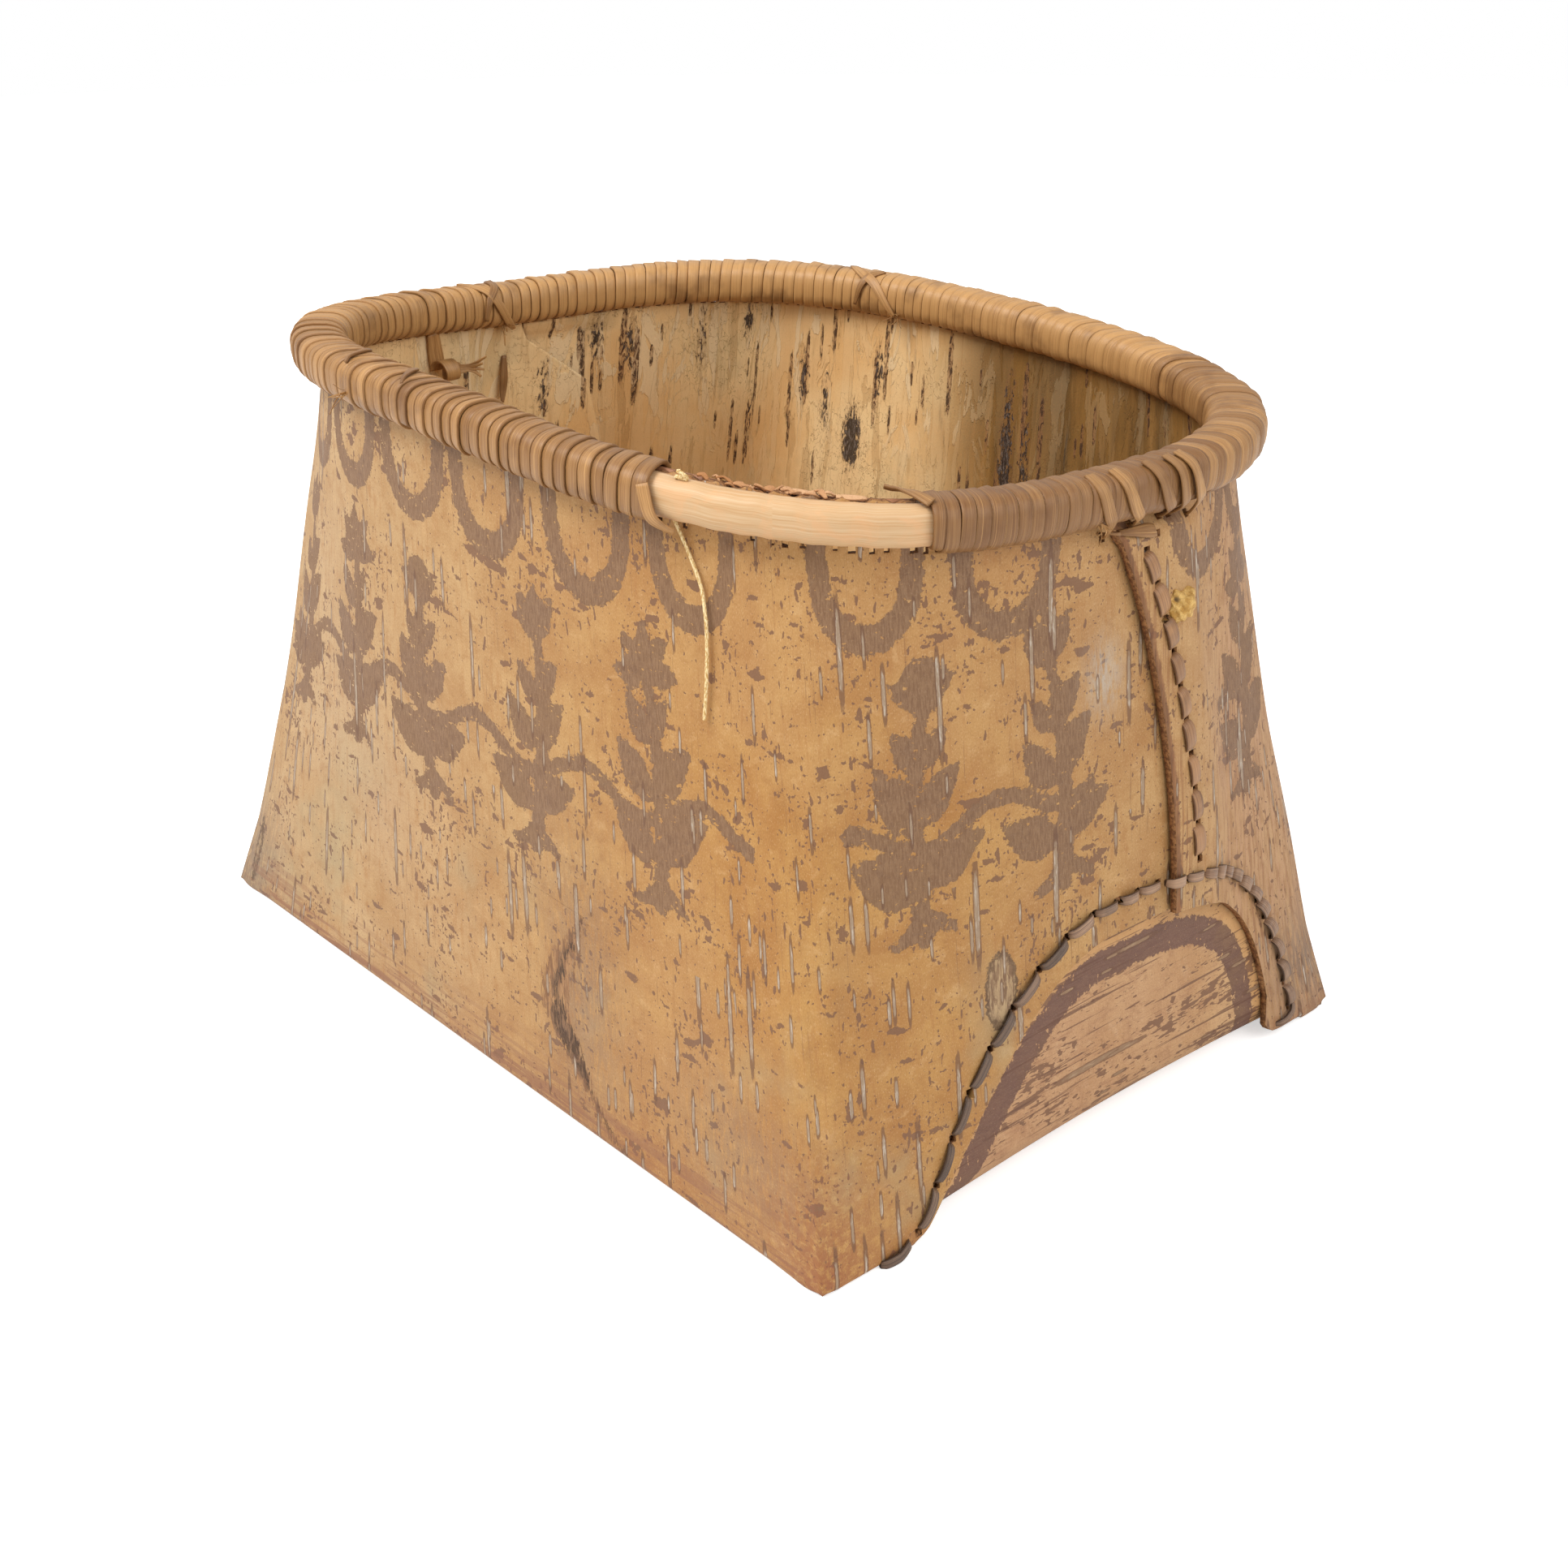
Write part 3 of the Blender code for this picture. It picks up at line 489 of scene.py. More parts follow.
def plant(u, z, at, foot, lean, variety):
    """One plant of the frieze: stem, leaves, a flower or bud, and its spread foot."""
    tall = 0.066
    head_u, head_z = at + lean, foot + tall + 0.003
    stem = bent(at, foot, at + lean, foot + tall, 0.003 if variety % 2 else -0.003)
    shapes = [stroke(u, z, stem, 0.0037, 0.0023)]
    for side in (-1, 1):
        spread = bent(at, foot + 0.004, at + side * 0.012, foot - 0.001, 0.001)
        shapes.append(stroke(u, z, spread, 0.0033, 0.0014))
        for k, (share, size) in enumerate(STEM_LEAVES):
            size = size * (1 + 0.12 * math.sin(variety * 2.1 + k + side))
            angle = side * (1.05 - 0.22 * k + 0.12 * math.sin(variety + 3 * k * side))
            shapes.append(leaf(u, z, at + lean * share, foot + tall * share, angle, size, 0.26))
    angles, drop, size, plump = HEAD_LEAVES[variety]
    shapes += [leaf(u, z, head_u, head_z - drop, angle, size, plump) for angle in angles]
    if variety == 1:
        shapes.append(0.0080 - np.hypot(u - head_u, z - head_z))
    return np.maximum.reduce(shapes)


def loop_mark(u, z, at, bottom, half, line):
    """A plain hanging loop under the rim."""
    turn = np.linspace(-1, 1, 15) * math.pi / 2
    low = np.stack([at + half * np.sin(turn), bottom + half * (1 - np.cos(turn))], -1)
    left, right = ([(at + side * half * 1.12, bottom + 0.040)] for side in (-1, 1))
    return line - to_line(u, z, np.concatenate([left, low, right]))[0]


# Figures of a long wall and of an end: plants as (middle, foot, lean, variety), loops as (middle, bottom),
# the loops' half width and line, and the vine's height, wave, start, reach and gap
LONG_FIGURES = (
    ((-0.132, 0.093, -0.003, 2), (-0.079, 0.093, 0.004, 0), (-0.022, 0.091, -0.004, 1),
     (0.040, 0.093, 0.005, 2), (0.103, 0.093, -0.003, 0)),
    ((-0.122, 0.182), (-0.075, 0.184), (-0.027, 0.183), (0.020, 0.181), (0.073, 0.178), (0.125, 0.177)),
    (0.0175, 0.0041), (0.121, 0.0575, 0.6, 0.150, (1.0, 1.0)),
)
END_FIGURES = (
    ((-0.072, 0.091, 0.004, 1), (-0.016, 0.091, -0.004, 2), (0.082, 0.091, 0.002, 0)),
    ((-0.086, 0.174), (-0.036, 0.171), (0.048, 0.170), (0.090, 0.173)),
    (0.0165, 0.0040), (0.119, 0.056, 0.0, 0.100, (-0.002, 0.060)),
)


def frieze(u, z, plants, loops, loop_size, vine):
    """Distance into the nearest figure of one wall, u from its middle."""
    height, wave, start, reach, gap = vine
    line = 0.0025 - np.abs(z - (height + 0.0045 * np.sin(u * 2 * math.pi / wave + start)))
    shapes = [np.minimum(np.minimum(line, np.maximum(gap[0] - u, u - gap[1])), reach - np.abs(u))]
    shapes += [plant(u, z, *given) for given in plants]
    shapes += [loop_mark(u, z, *given, *loop_size) for given in loops]
    return np.maximum(np.maximum.reduce(shapes), -0.05)


# Marks on the sheet, at places and heights of the walls. Distances are in millimetres

FAR = 30.0
# Scars and knots: (place, height, half width, half height)
SCARS = ((-0.365, 0.0655, 0.0068, 0.0122), (5.062, 0.0190, 0.0026, 0.0140))
KNOTS = (
    (2.523, 0.1516, 0.0055, 0.0125), (3.541, 0.1873, 0.0024, 0.0080), (3.665, 0.1909, 0.0020, 0.0078),
    (3.005, 0.1937, 0.0026, 0.0062), (2.726, 0.1730, 0.0026, 0.0090), (2.633, 0.1639, 0.0019, 0.0085),
    (2.438, 0.1794, 0.0019, 0.0085), (3.234, 0.1870, 0.0016, 0.0080), (2.967, 0.1542, 0.0016, 0.0070),
    (3.878, 0.1753, 0.0018, 0.0070), (1.975, 0.1560, 0.0034, 0.0270), (1.915, 0.1480, 0.0022, 0.0210),
    (1.62, 0.1500, 0.0030, 0.0100), (5.70, 0.1450, 0.0034, 0.0105),
)
# Stain, grey wear and haze: (place, height, half width, half height, strength)
STAINS = ((7.0, 0.0, 0.026, 0.034, 1.0), (6.50, 0.0, 0.05, 0.02, 0.6))
GRIME = (
    (5.0, 0.012, 0.030, 0.032, 1.0), (6.36, 0.05, 0.020, 0.05, 0.6), (0.93, 0.020, 0.020, 0.018, 1.0),
    (6.80, 0.028, 0.034, 0.020, 0.5),
)
HAZE = ((0.025178347, 0.147, 0.0075, 0.0105, 0.75),)
# The crack low on the front wall: (from the wall's middle, height)
CRACK = np.array([(0.0640, 0.0800), (0.0609, 0.0724), (0.0525, 0.0608), (0.0461, 0.0468), (0.0473, 0.0372),
                  (0.0534, 0.0280), (0.0601, 0.0198), (0.0695, 0.0096), (0.0800, 0.0000)])


def figure_mark(f, place, z):
    """Distance into the nearest scraped figure. The back wall's frieze is the front one's mirror image."""
    p = wrapped(place)
    long = frieze(np.where(p < 4, p - 2, p - 6) * f.half_x, z, *LONG_FIGURES)
    end = frieze(np.where(p < 2, p, 4 - p) * f.half_y, z, *END_FIGURES)
    return np.where((p < 1) | ((p >= 3) & (p < 5)), end, long) * 1000


def oval_mark(f, place, z, marks):
    """Distance into the nearest oval mark."""
    run, best = run_of(f, place), -FAR
    for at, height, wide, tall in marks:
        for turn in (0, 8):
            size = np.hypot((run - run_of(f, at + turn)) / wide, (z - height) / tall)
            best = np.maximum(best, (1 - size) * wide * 1000)
    return best


def soft_mark(f, place, z, marks):
    """Strength of the soft marks."""
    run = run_of(f, place)
    return np.maximum.reduce([
        soft((run - run_of(f, at)) / wide, (z - height) / tall) * strong
        for at, height, wide, tall, strong in marks
    ])


def crack_mark(f, place, z):
    """Signed distance to the curved crack."""
    u = (place - 6) * f.half_x
    middle = np.interp(z, CRACK[::-1, 1], CRACK[::-1, 0])
    return np.where((z < 0.078) & (np.abs(u) < 0.15), (u - middle) * 800, FAR)


def rosy_mark(f, place):
    """The pinkish part of the sheet round the back right corner."""
    run = run_of(f, place)
    return unit((run - run_of(f, 0.30)) / 0.035) * unit((run_of(f, 1.6) - run) / 0.05)


def warm_mark(f, place):
    """The golden part of the sheet: the front right corner and both sides of it."""
    run = run_of(f, place)
    away = np.minimum(np.abs(run - run_of(f, 7.0)), np.abs(run - run_of(f, -1.0)))
    return unit(1.30 - away / 0.20)


def fold_mark(place, z):
    """Streaks along the fold under the long walls."""
    p = wrapped(place)
    to_corner = np.min([np.abs(p - corner) for corner in (1, 3, 5, 7)], axis=0)
    return np.where(((p > 1) & (p < 3)) | (p > 5), unit(to_corner / 0.1), 0.0) * soft(z / 0.0165)


def lap_mark(f, place, z):
    """Distance from the over flap's cut edge at either end."""
    p = wrapped(place)
    right = p < 1.5
    q, cx = np.where(right, p, 4 - p), np.where(right, 1.0, -1.0)
    away = np.abs(q - seam_q(f, z, band_z(f, cx, q))) * f.half_y * 1000
    return np.where((p < 1) | ((p > 3) & (p < 5)), away, FAR)


def dim_mark(place):
    """Painted shade on the inner face, darker at the right end and the back wall's right part."""
    p = wrapped(place)
    p = np.where(p > 5, p - 8, p)
    return unit((2.32 - p) / 0.30) * unit((p + 1.2) / 0.2)


# The sheet of bark

# Where the long folds and the folds under the feet fade out, from the corners
FOLD_FADE, FOOT_FADE = 0.024, 0.010
# Relief of the sheet: height of its waves, and (depth, half width) of its rounded corners and of the dents
# round its awl holes
WAVE = 0.0007
CORNER = (0.0021, 0.0065)
DENT = (0.00055, 0.0026)
# Half width of the slot that a root goes through
SLOT_HALF = 0.00125
# Furthest that a cell of the grid is drawn to an awl hole
HOLE_REACH = 0.003


def spaced(start, stop, step, extra=(), fixed=()):
    """Marks at even steps, with further ones added and near neighbours dropped."""
    even = np.linspace(start, stop, max(2, round(abs(stop - start) / step) + 1))
    fixed = np.array([start, stop, *fixed])
    kept = []
    for mark in np.sort([*even, *extra, *fixed[2:]]):
        if not kept or mark - kept[-1] > step * 0.42:
            kept.append(mark)
        elif np.min(np.abs(fixed - mark)) < 1e-9 < np.min(np.abs(fixed - kept[-1])):
            kept[-1] = mark
    return np.array(kept)


def wall_grid(f, over):
    """One wall's sheet with its two flaps: places, heights, lifts and draws at the folds as (column, row).

    The last number is the row of cells that the lashing goes through.
    """
    half_x, half_y = f.half_x, f.half_y
    corner, first = (1.0, 1) if over else (-1.0, -1)
    low = (f.seam_low + (0 if over else f.overlap)) / half_y
    top = (f.seam_top - (0 if over else f.butt_gap)) / half_y
    extra, fixed = [], [f.foot_front / half_y]
    if over:
        steep = np.radians([*np.arange(20, 80, 2.2), 81, 83, 85, 86.5, 88, 89, 89.7])
        extra = (f.arch_middle + f.arch_back * np.sin(steep) ** (2 / 3)) / half_y
        extra, fixed = extra[(extra > low) & (extra < 1)], [f.foot_back / half_y]
    feet = spaced(*sorted((low, corner)), f.cell / half_y, extra, fixed)
    shares = np.sort(np.abs((feet - low) / (corner - low)))
    sides = spaced(-1, 1, f.cell / half_x)[1:-1] * 1.0
    columns = [(first, w, 0.0) for w in shares] + [(0, 0.0, q) for q in (sides[::-1] if over else sides)]
    columns += [(-first, w, 0.0) for w in shares[::-1]]
    end, w, q_side = np.array(columns).T[..., None]
    at_end = end != 0

    # Feet of the columns: on the arch's edge, flared at the back foot and lifted a little at the corners
    cx, cy_top = np.where(at_end, end, q_side), np.where(at_end, mix(top, corner, w), corner)
    foot_q = mix(low, corner, w)
    foot = np.where(at_end, arch_z(f, foot_q), 0.0)
    past = foot_q * half_y - f.arch_middle - f.arch_back
    foot = foot + np.where(at_end & (past > -1e-6) & (foot > 0), 0.0055 * unit(1 - past / 0.009) ** 2, 0.0)
    along_side = (1 - np.abs(q_side)) * half_x
    to_corner = np.where(at_end, np.abs(corner - foot_q) * half_y, along_side)
    foot = foot + mix(0.0013, 0.0030, over) * soft(to_corner / 0.0050)

    # Rows: round the fold, up the wall, through the flaps' cut corner, the slot and the rim
    turn = np.radians(np.linspace(0, 90, 5))
    band, rim = band_z(f, cx, cy_top), rim_z(f, cx, cy_top)
    low_band = band - f.corner_cut
    marks = f.side_fold + (low_band - f.side_fold) * np.linspace(0, 1, round(0.176 / f.cell) + 1)[1:]
    fold_z = np.broadcast_to(f.side_fold * (1 - np.cos(turn)), (len(columns), len(turn)))
    rows = mix(foot, low_band, np.concatenate([fold_z, marks], 1) / low_band)
    drops = np.array([*np.linspace(f.corner_cut, f.tuck, 9)[1:], f.tuck * 0.5, 0.0, -0.0006])
    upper = mix(rim - f.hoop_height / 2, rim + f.over_rim, np.array([0, 0.34, 0.67, 1]))
    heights = np.concatenate([rows, band - drops, upper], 1)
    fold, foot_in = np.zeros((2, *heights.shape))
    fold[:, :5] = f.side_fold * (1 - np.sin(turn)) * np.where(at_end, 0.0, unit(along_side / FOLD_FADE))
    foot_ramp = unit((1 - np.abs(foot_q)) * half_y / FOOT_FADE) * (1 - unit(foot / 0.003)) * end
    foot_in[:, :5] = f.foot_fold * (1 - np.sin(turn)) * foot_ramp

    # Along the ends the columns follow the flap's edge, and near the floor they lean in to the back foot
    q = mix((seam_q if over else hidden_q)(f, heights, band), corner, w)
    lift = np.where(at_end & over, flap_lift(f, w, heights, band), 0.0)
    leaning = unit((0.0155 - heights) / 0.0115) ** 2 * unit(1 - np.abs(q * half_y - 0.0845) / 0.016)
    q = q - 0.0050 / half_y * leaning
    flap_place = np.where(end > 0, q + (0 if over else 8), 4 - q)
    place = np.where(at_end, flap_place, 2 - q_side if over else 6 + q_side)
    return place, heights, lift, fold, foot_in, rows.shape[1] + len(drops) - 1


def waviness(place, z):
    """Slight unevenness of the sheet, outwards, in metres. It fades out at the floor and the rim."""
    wave = np.sin(place * 5.3 + 0.8) * 0.55 + np.sin(place * 11.7 + z * 40) * 0.3
    wave = wave + np.sin(z * 75 + place * 3) * 0.25
    return WAVE * wave * (unit(z / 0.05) * unit((0.196 - z) / 0.03))


def corner_round(f, place, z):
    """How far the upright corners are rounded off, inwards."""
    away = np.min(np.abs(run_of(f, place)[..., None] - run_of(f, np.arange(-1, 10, 2))), -1)
    return CORNER[0] * soft(away / CORNER[1]) * mix(0.35, 1, unit(z / 0.030)) * unit((0.205 - z) / 0.10)


def bare_share(f, place):
    """1 over the bare stretch of the hoop and 0 elsewhere."""
    p = wrapped(place)
    run = np.where(p > 3, p - 8, p)
    first, last = -2 + f.bare_start / f.half_x, f.bare_end / f.half_y
    return unit((run - first + 0.02) / 0.02) * unit((last + 0.02 - run) / 0.02)


def cut_holes(f, holes, place, heights):
    """Draws the grid's cell nearest to each awl hole to its outline. Returns these cells as (column, row).

    A hole is (place, height, half width as a place, half height).
    """
    cells, taken = set(), set()
    middle_p, middle_z = ((values[:-1, :-1] + values[1:, 1:]) / 2 for values in (place, heights))
    for at, z, half_place, half_z in holes:
        away = np.min([((middle_p - at + turn) * f.half_y) ** 2 for turn in (-8, 0, 8)], axis=0)
        away = away + (middle_z - z) ** 2
        i, k = np.unravel_index(away.argmin(), away.shape)
        corners = {(i, k), (i + 1, k), (i, k + 1), (i + 1, k + 1)}
        if away[i, k] > HOLE_REACH**2 or corners & taken:
            continue
        taken |= corners
        cells.add((i, k))
        at = at + 8 * round((middle_p[i, k] - at) / 8)
        way = 1 if place[i + 1, k] > place[i, k] else -1
        for column, row in corners:
            place[column, row] = at + way * (2 * (column - i) - 1) * half_place
            heights[column, row] = z + (2 * (row - k) - 1) * half_z
    return cells


def dents(f, holes, place, heights):
    """How far the sheet sinks in round the awl holes."""
    run, nearest = run_of(f, place), 1.0
    for at, z, _, _ in holes:
        for turn in (0, 8):
            nearest = np.minimum(nearest, (run - run_of(f, at + turn)) ** 2 + (heights - z) ** 2)
    return DENT[0] * np.exp(-nearest / DENT[1] ** 2)


def build_wall(f, name, over, holes, passes, materials):
    """One long wall with its flaps, as a thickened sheet."""
    place, heights, lift, fold, foot_in, slot_row = wall_grid(f, over)
    removed = cut_holes(f, holes, place, heights)
    cx, cy = square(place)
    torn = 0.0011 + 0.0005 * np.sin(place * 61 + 1) + 0.0003 * np.sin(place * 143)
    top_row = np.maximum(np.arange(heights.shape[1]) - (heights.shape[1] - 3), 0)
    heights = heights + top_row / 2 * torn * bare_share(f, place)
    out = lift + waviness(place, heights) - corner_round(f, place, heights) - dents(f, holes, place, heights)
    points = wall_points(f, cx, cy, heights, out, fold)
    points[..., 0] -= foot_in
    mesh, column, row = grid(name, place.shape[0] - 1, place.shape[1] - 1)
    set_points(mesh, points[column, row])
    p, z = place[column, row], heights[column, row]
    set_uv(mesh, run_of(f, p), z)
    set_attributes(
        mesh,
        figure=figure_mark(f, p, z),
        scar=oval_mark(f, p, z, SCARS),
        knot=oval_mark(f, p, z, KNOTS),
        crack=crack_mark(f, p, z),
        stain=np.maximum(soft_mark(f, p, z, STAINS), soft(z / 0.0060) * 0.55),
        grime=soft_mark(f, p, z, GRIME),
        warm=warm_mark(f, p),
        haze=soft_mark(f, wrapped(p), z, HAZE),
        rosy=rosy_mark(f, p),
        fold=fold_mark(p, z),
        lap=lap_mark(f, p, z) if over else FAR,
        # the last mark is painted shade for the inner face
        dim=dim_mark(p),
    )
    middle = run_of(f, (place[:-1, slot_row] + place[1:, slot_row]) / 2)
    near_pass = np.min(np.abs(run_of(f, passes) - middle[:, None]), 1) < SLOT_HALF
    removed |= {(i, slot_row) for i in np.flatnonzero(near_pass)}
    with edited(mesh) as built:
        gone = []
        for face in built.faces:
            corners = [vert.index for vert in face.verts]
            if (column[corners].min(), row[corners].min()) in removed:
                gone.append(face)
        bmesh.ops.delete(built, geom=gone, context="FACES")
        built.normal_update()
        if sum(face.normal.y for face in built.faces) * (1 if over else -1) < 0:
            bmesh.ops.reverse_faces(built, faces=built.faces)
    thicken(piece(name, mesh, "birch_bark", "bark_body", *materials), f.bark)


def thicken(made, thickness):
    """Gives a sheet its thickness, with the second material inside and the third on its edge."""
    sheet = made.modifiers.new("thickness", "SOLIDIFY")
    sheet.thickness = thickness
    sheet.offset = -1
    sheet.material_offset = 1
    sheet.material_offset_rim = 2


def tongue_side(f, z, back):
    """Side edge of a tongue along the end, in metres."""
    foot, top, start, way = f.foot_front, -f.tongue_top_front, 0.0, 1
    if back:
        foot, top, start, way = f.foot_back, f.tongue_top_back, f.tongue_height * 0.4, -1
    slack = way * f.tongue_slack * unit(z / f.end_fold)
    return mix(foot, top, unit((z - start) / (f.tongue_height - start))) + slack


def floor_patches(f):
    """The floor, its four ears and its two tongues, as grids of x, y, z and length along the sheet."""
    first, last, straight = f.foot_front, f.foot_back, f.half_x - f.end_fold
    marks = spaced(-f.half_y, f.half_y, f.cell * 1.15, (), (first, last))
    inner = marks[(marks >= first - 1e-9) & (marks <= last + 1e-9)]
    share = ((inner - first) / (last - first))[:, None]
    turn = np.radians(np.linspace(0, 90, 9))

    def fold_y(x, y):
        pull = f.side_fold * unit((f.half_x - np.abs(x)) / FOLD_FADE)
        return y * (f.half_y - pull) / f.half_y

    x, y = np.meshgrid(np.linspace(-straight, straight, 112), marks)
    yield x, fold_y(x, y), 0 * x, x
    for end in (-1, 1):
        for ear in (marks[marks <= first + 1e-9], marks[marks >= last - 1e-9]):
            x, y = np.meshgrid(np.linspace(straight, f.half_x, 6) * end, ear)
            pull = f.foot_fold * unit((f.half_y - np.abs(y)) / FOOT_FADE)
            pull = pull * unit((np.abs(x) - straight) / f.end_fold)
            yield x - end * pull, fold_y(x, y), 0 * x, x
        top = f.tongue_height - f.tongue_crown * np.abs(2 * share - 1) ** 3
        rise = mix(f.end_fold, top, np.linspace(0, 1, 31)[1:])
        round_z, bend = (np.broadcast_to(f.end_fold * v, (len(inner), 9)) for v in (1 - np.cos(turn), turn))
        z = np.concatenate([round_z, rise], 1)
        back = np.append(f.end_fold * (1 - np.sin(turn)), np.zeros(30))
        q = mix(tongue_side(f, z, False), tongue_side(f, z, True), share) / f.half_y
        points = wall_points(f, float(end), q, z)
        sag = 0.0008 * np.sin(math.pi * unit(z / 0.075)) * np.sin(math.pi * share)
        x = points[..., 0] - end * (f.bark + f.gap + 0.0002 + back + sag)
        path = straight + np.concatenate([bend, (math.pi / 2 - 1) * f.end_fold + rise], 1)
        yield x, points[..., 1], z, path * end


def floor_figure(f, path, y):
    """The stripe that follows the arch on each tongue, in millimetres, and the margin between them."""
    z = np.abs(path) - (f.half_x - f.end_fold) - (math.pi / 2 - 1) * f.end_fold
    away = to_line(y, z, arch_curve(f))[0] * 1000
    inside = (z < arch_z(f, y / f.half_y)) & (z > -0.001)
    return np.where(inside, 4.9 - np.abs(away - 10.5), -20.0), np.where(inside, unit((7 - away) / 2), 0.0)


def build_floor(f, name, materials):
    """The floor with a tongue folded up at each end, raised a little under the tongues' fold."""
    parts = []
    for x, y, z, path in floor_patches(f):
        mesh, column, row = grid("part", x.shape[0] - 1, x.shape[1] - 1)
        share = unit((y - f.foot_front) / (f.foot_back - f.foot_front))
        arc = 0.0060 * np.sin(math.pi * share) * unit((np.abs(x) - 0.130) / 0.040) ** 2 * unit(1 - z / 0.05)
        pull = 0.0024 * soft((f.half_x - np.abs(x)) / 0.0070, (f.half_y - np.abs(y)) / 0.0070) * (z < 0.001)
        x, y = x - np.sign(x) * pull, y - np.sign(y) * pull
        set_points(mesh, np.stack([x, y, z + arc], -1)[column, row])
        path, y = path[column, row], y[column, row]
        set_uv(mesh, path, y)
        figure, margin = floor_figure(f, path, y)
        # The floor's inner face gets painted shade at a fixed strength.
        set_attributes(mesh, figure=figure, margin=margin, knot=-FAR, dim=0.55)
        parts.append(mesh)
    mesh = joined(name, parts, 1e-6)
    with edited(mesh) as built:
        bmesh.ops.recalc_face_normals(built, faces=built.faces)
        built.normal_update()
        low = next(face for face in built.faces if abs(face.calc_center_median().x) < 0.1)
        if low.normal.z > 0:
            bmesh.ops.reverse_faces(built, faces=built.faces)
    thicken(piece(name, mesh, "birch_bark", "bark_body", *materials), f.bark)


# The rim


def section(f, angle, grow):
    """Out and up of the rim package's rounded section, grown outwards."""
    inner, outer = -(f.bark + f.gap + f.hoop_in), f.gap + f.hoop_out
    c, s = np.cos(angle), np.sin(angle)
    power = 2 / f.section_round
    out = (outer + inner) / 2 + np.sign(c) * np.abs(c) ** power * ((outer - inner) / 2 + grow)
    return out, np.sign(s) * np.abs(s) ** power * (f.hoop_height / 2 + grow)


def build_hoop(f, name, outer, slot, node, wood):
    """One hoop of bent wood, flat where it meets the bark."""
    out, up = section(f, np.radians(np.linspace(0, 360, 73)), 0)
    face = f.gap if outer else -(f.bark + f.gap)
    keep = (out > face + 0.0004) if outer else (out < face - 0.0004)
    order = np.argsort(up[keep])
    out, up = out[keep][order], up[keep][order]
    apart = np.insert(np.diff(up) > 1e-5, 0, True)
    tall = f.hoop_height / 2 - 0.0002
    place = np.linspace(-1, 7, 721)[:-1]
    cx, cy = square(place[:, None])
    rings = rim_points(f, cx, cy, np.array([face, *out[apart], face]), np.array([-tall, *up[apart], tall]))
    if outer:
        rings[:, 1:-1, 2] += (0.00012 * np.sin(place * 31) + 0.00010 * np.sin(place * 67 + 1))[:, None]
    piece(name, tube(name, rings, run_of(f, place) * 0.92, closed=True), slot, node, wood)


def strip_profile(half, thick, slope=0.0):
    """Section of a flat strip with rounded edges: sideways and outward numbers. slope raises one side."""
    side = np.array([-1, -0.99, -0.92, -0.45, 0.45, 0.92, 0.99, 1, 0.6, -0.6])
    out = np.array([0.35, 0.82, 0.97, 1.02, 1.02, 0.97, 0.82, 0.35, 0.0, 0.0])
    return side * half, out * thick * (1 + slope * side)


def ribbon(points, outward, half, thick, shade):
    """A strip along a line of points, its face turned outward, with a half width at each point."""
    line = curved(np.column_stack([points, outward, half]), 5)
    at = line[:, :3]
    ahead = directions(np.gradient(at, axis=0))
    across = directions(np.cross(line[:, 3:6], ahead))
    face = np.cross(ahead, across)
    side, out = strip_profile(1.0, thick)
    rings = at[:, None] + across[:, None] * (side * line[:, 6:])[..., None] + face[:, None] * out[:, None]
    return tube("part", rings, path_lengths(at), shade)


def on_rim(f, place, angle, grow):
    """A point over the rim package and the direction out from it."""
    cx, cy = square(place)
    at = rim_points(f, cx, cy, *section(f, math.radians(angle), grow))
    return at, directions(at - rim_points(f, cx, cy, f.hoops_middle, 0))


# Strip ends and splices over the lashing: shade, then (place, angle, height in mm, half width in mm)
ENDS = (
    (-1.0, ((-0.545, 60, 1.5, 1.6), (-0.575, 88, 1.7, 1.7), (-0.605, 103, 1.8, 1.6), (-0.632, 111, 2.0, 1.5),
            (-0.652, 116, 2.5, 1.1))),
    (0.3, ((6.630, 25, 1.5, 1.7), (6.648, -18, 1.6, 1.8), (6.672, -46, 1.7, 1.7), (6.705, -64, 2.1, 1.2))),
    (0.9, ((4.16, 75, 1.6, 1.7), (4.13, 130, 1.9, 1.9), (4.10, 170, 2.0, 1.8), (4.05, 215, 2.0, 1.4),
           (4.02, 245, 2.6, 0.8))),
    (-1.2, ((4.06, 80, 1.6, 1.4), (4.09, 125, 2.1, 1.5), (4.13, 165, 2.3, 1.3), (4.15, 200, 2.4, 0.7))),
    (0.6, ((2.56, 85, 1.6, 1.6), (2.50, 120, 1.9, 1.8), (2.45, 150, 2.0, 1.7), (2.40, 185, 2.0, 1.4),
           (2.37, 215, 2.4, 0.8))),
    (-1.0, ((2.44, 92, 1.6, 1.2), (2.475, 130, 2.1, 1.4), (2.50, 165, 2.2, 1.1), (2.52, 195, 2.3, 0.6))),
    (-1.3, ((5.60, 118, 1.5, 0.5), (5.63, 95, 1.8, 0.9), (5.66, 70, 1.8, 0.8), (5.675, 50, 1.6, 0.4))),
    (-1.3, ((5.835, 112, 1.5, 0.5), (5.855, 92, 1.8, 1.0), (5.885, 72, 1.8, 0.8), (5.90, 52, 1.6, 0.4))),
)
# Frayed ends: (place, angle)
TUFTS = ((5.685, -8), (4.06, 232), (2.37, 222), (-0.05, -40))
# Strips that reach down beside the right seam: (place on the rim, y and z of the tip)
WEDGES = ((-0.06, 0.0005, 0.1885), (0.02, 0.0125, 0.1894), (0.133, 0.0252, 0.1895), (0.205, 0.0296, 0.1892),
          (0.25, 0.0382, 0.1874))


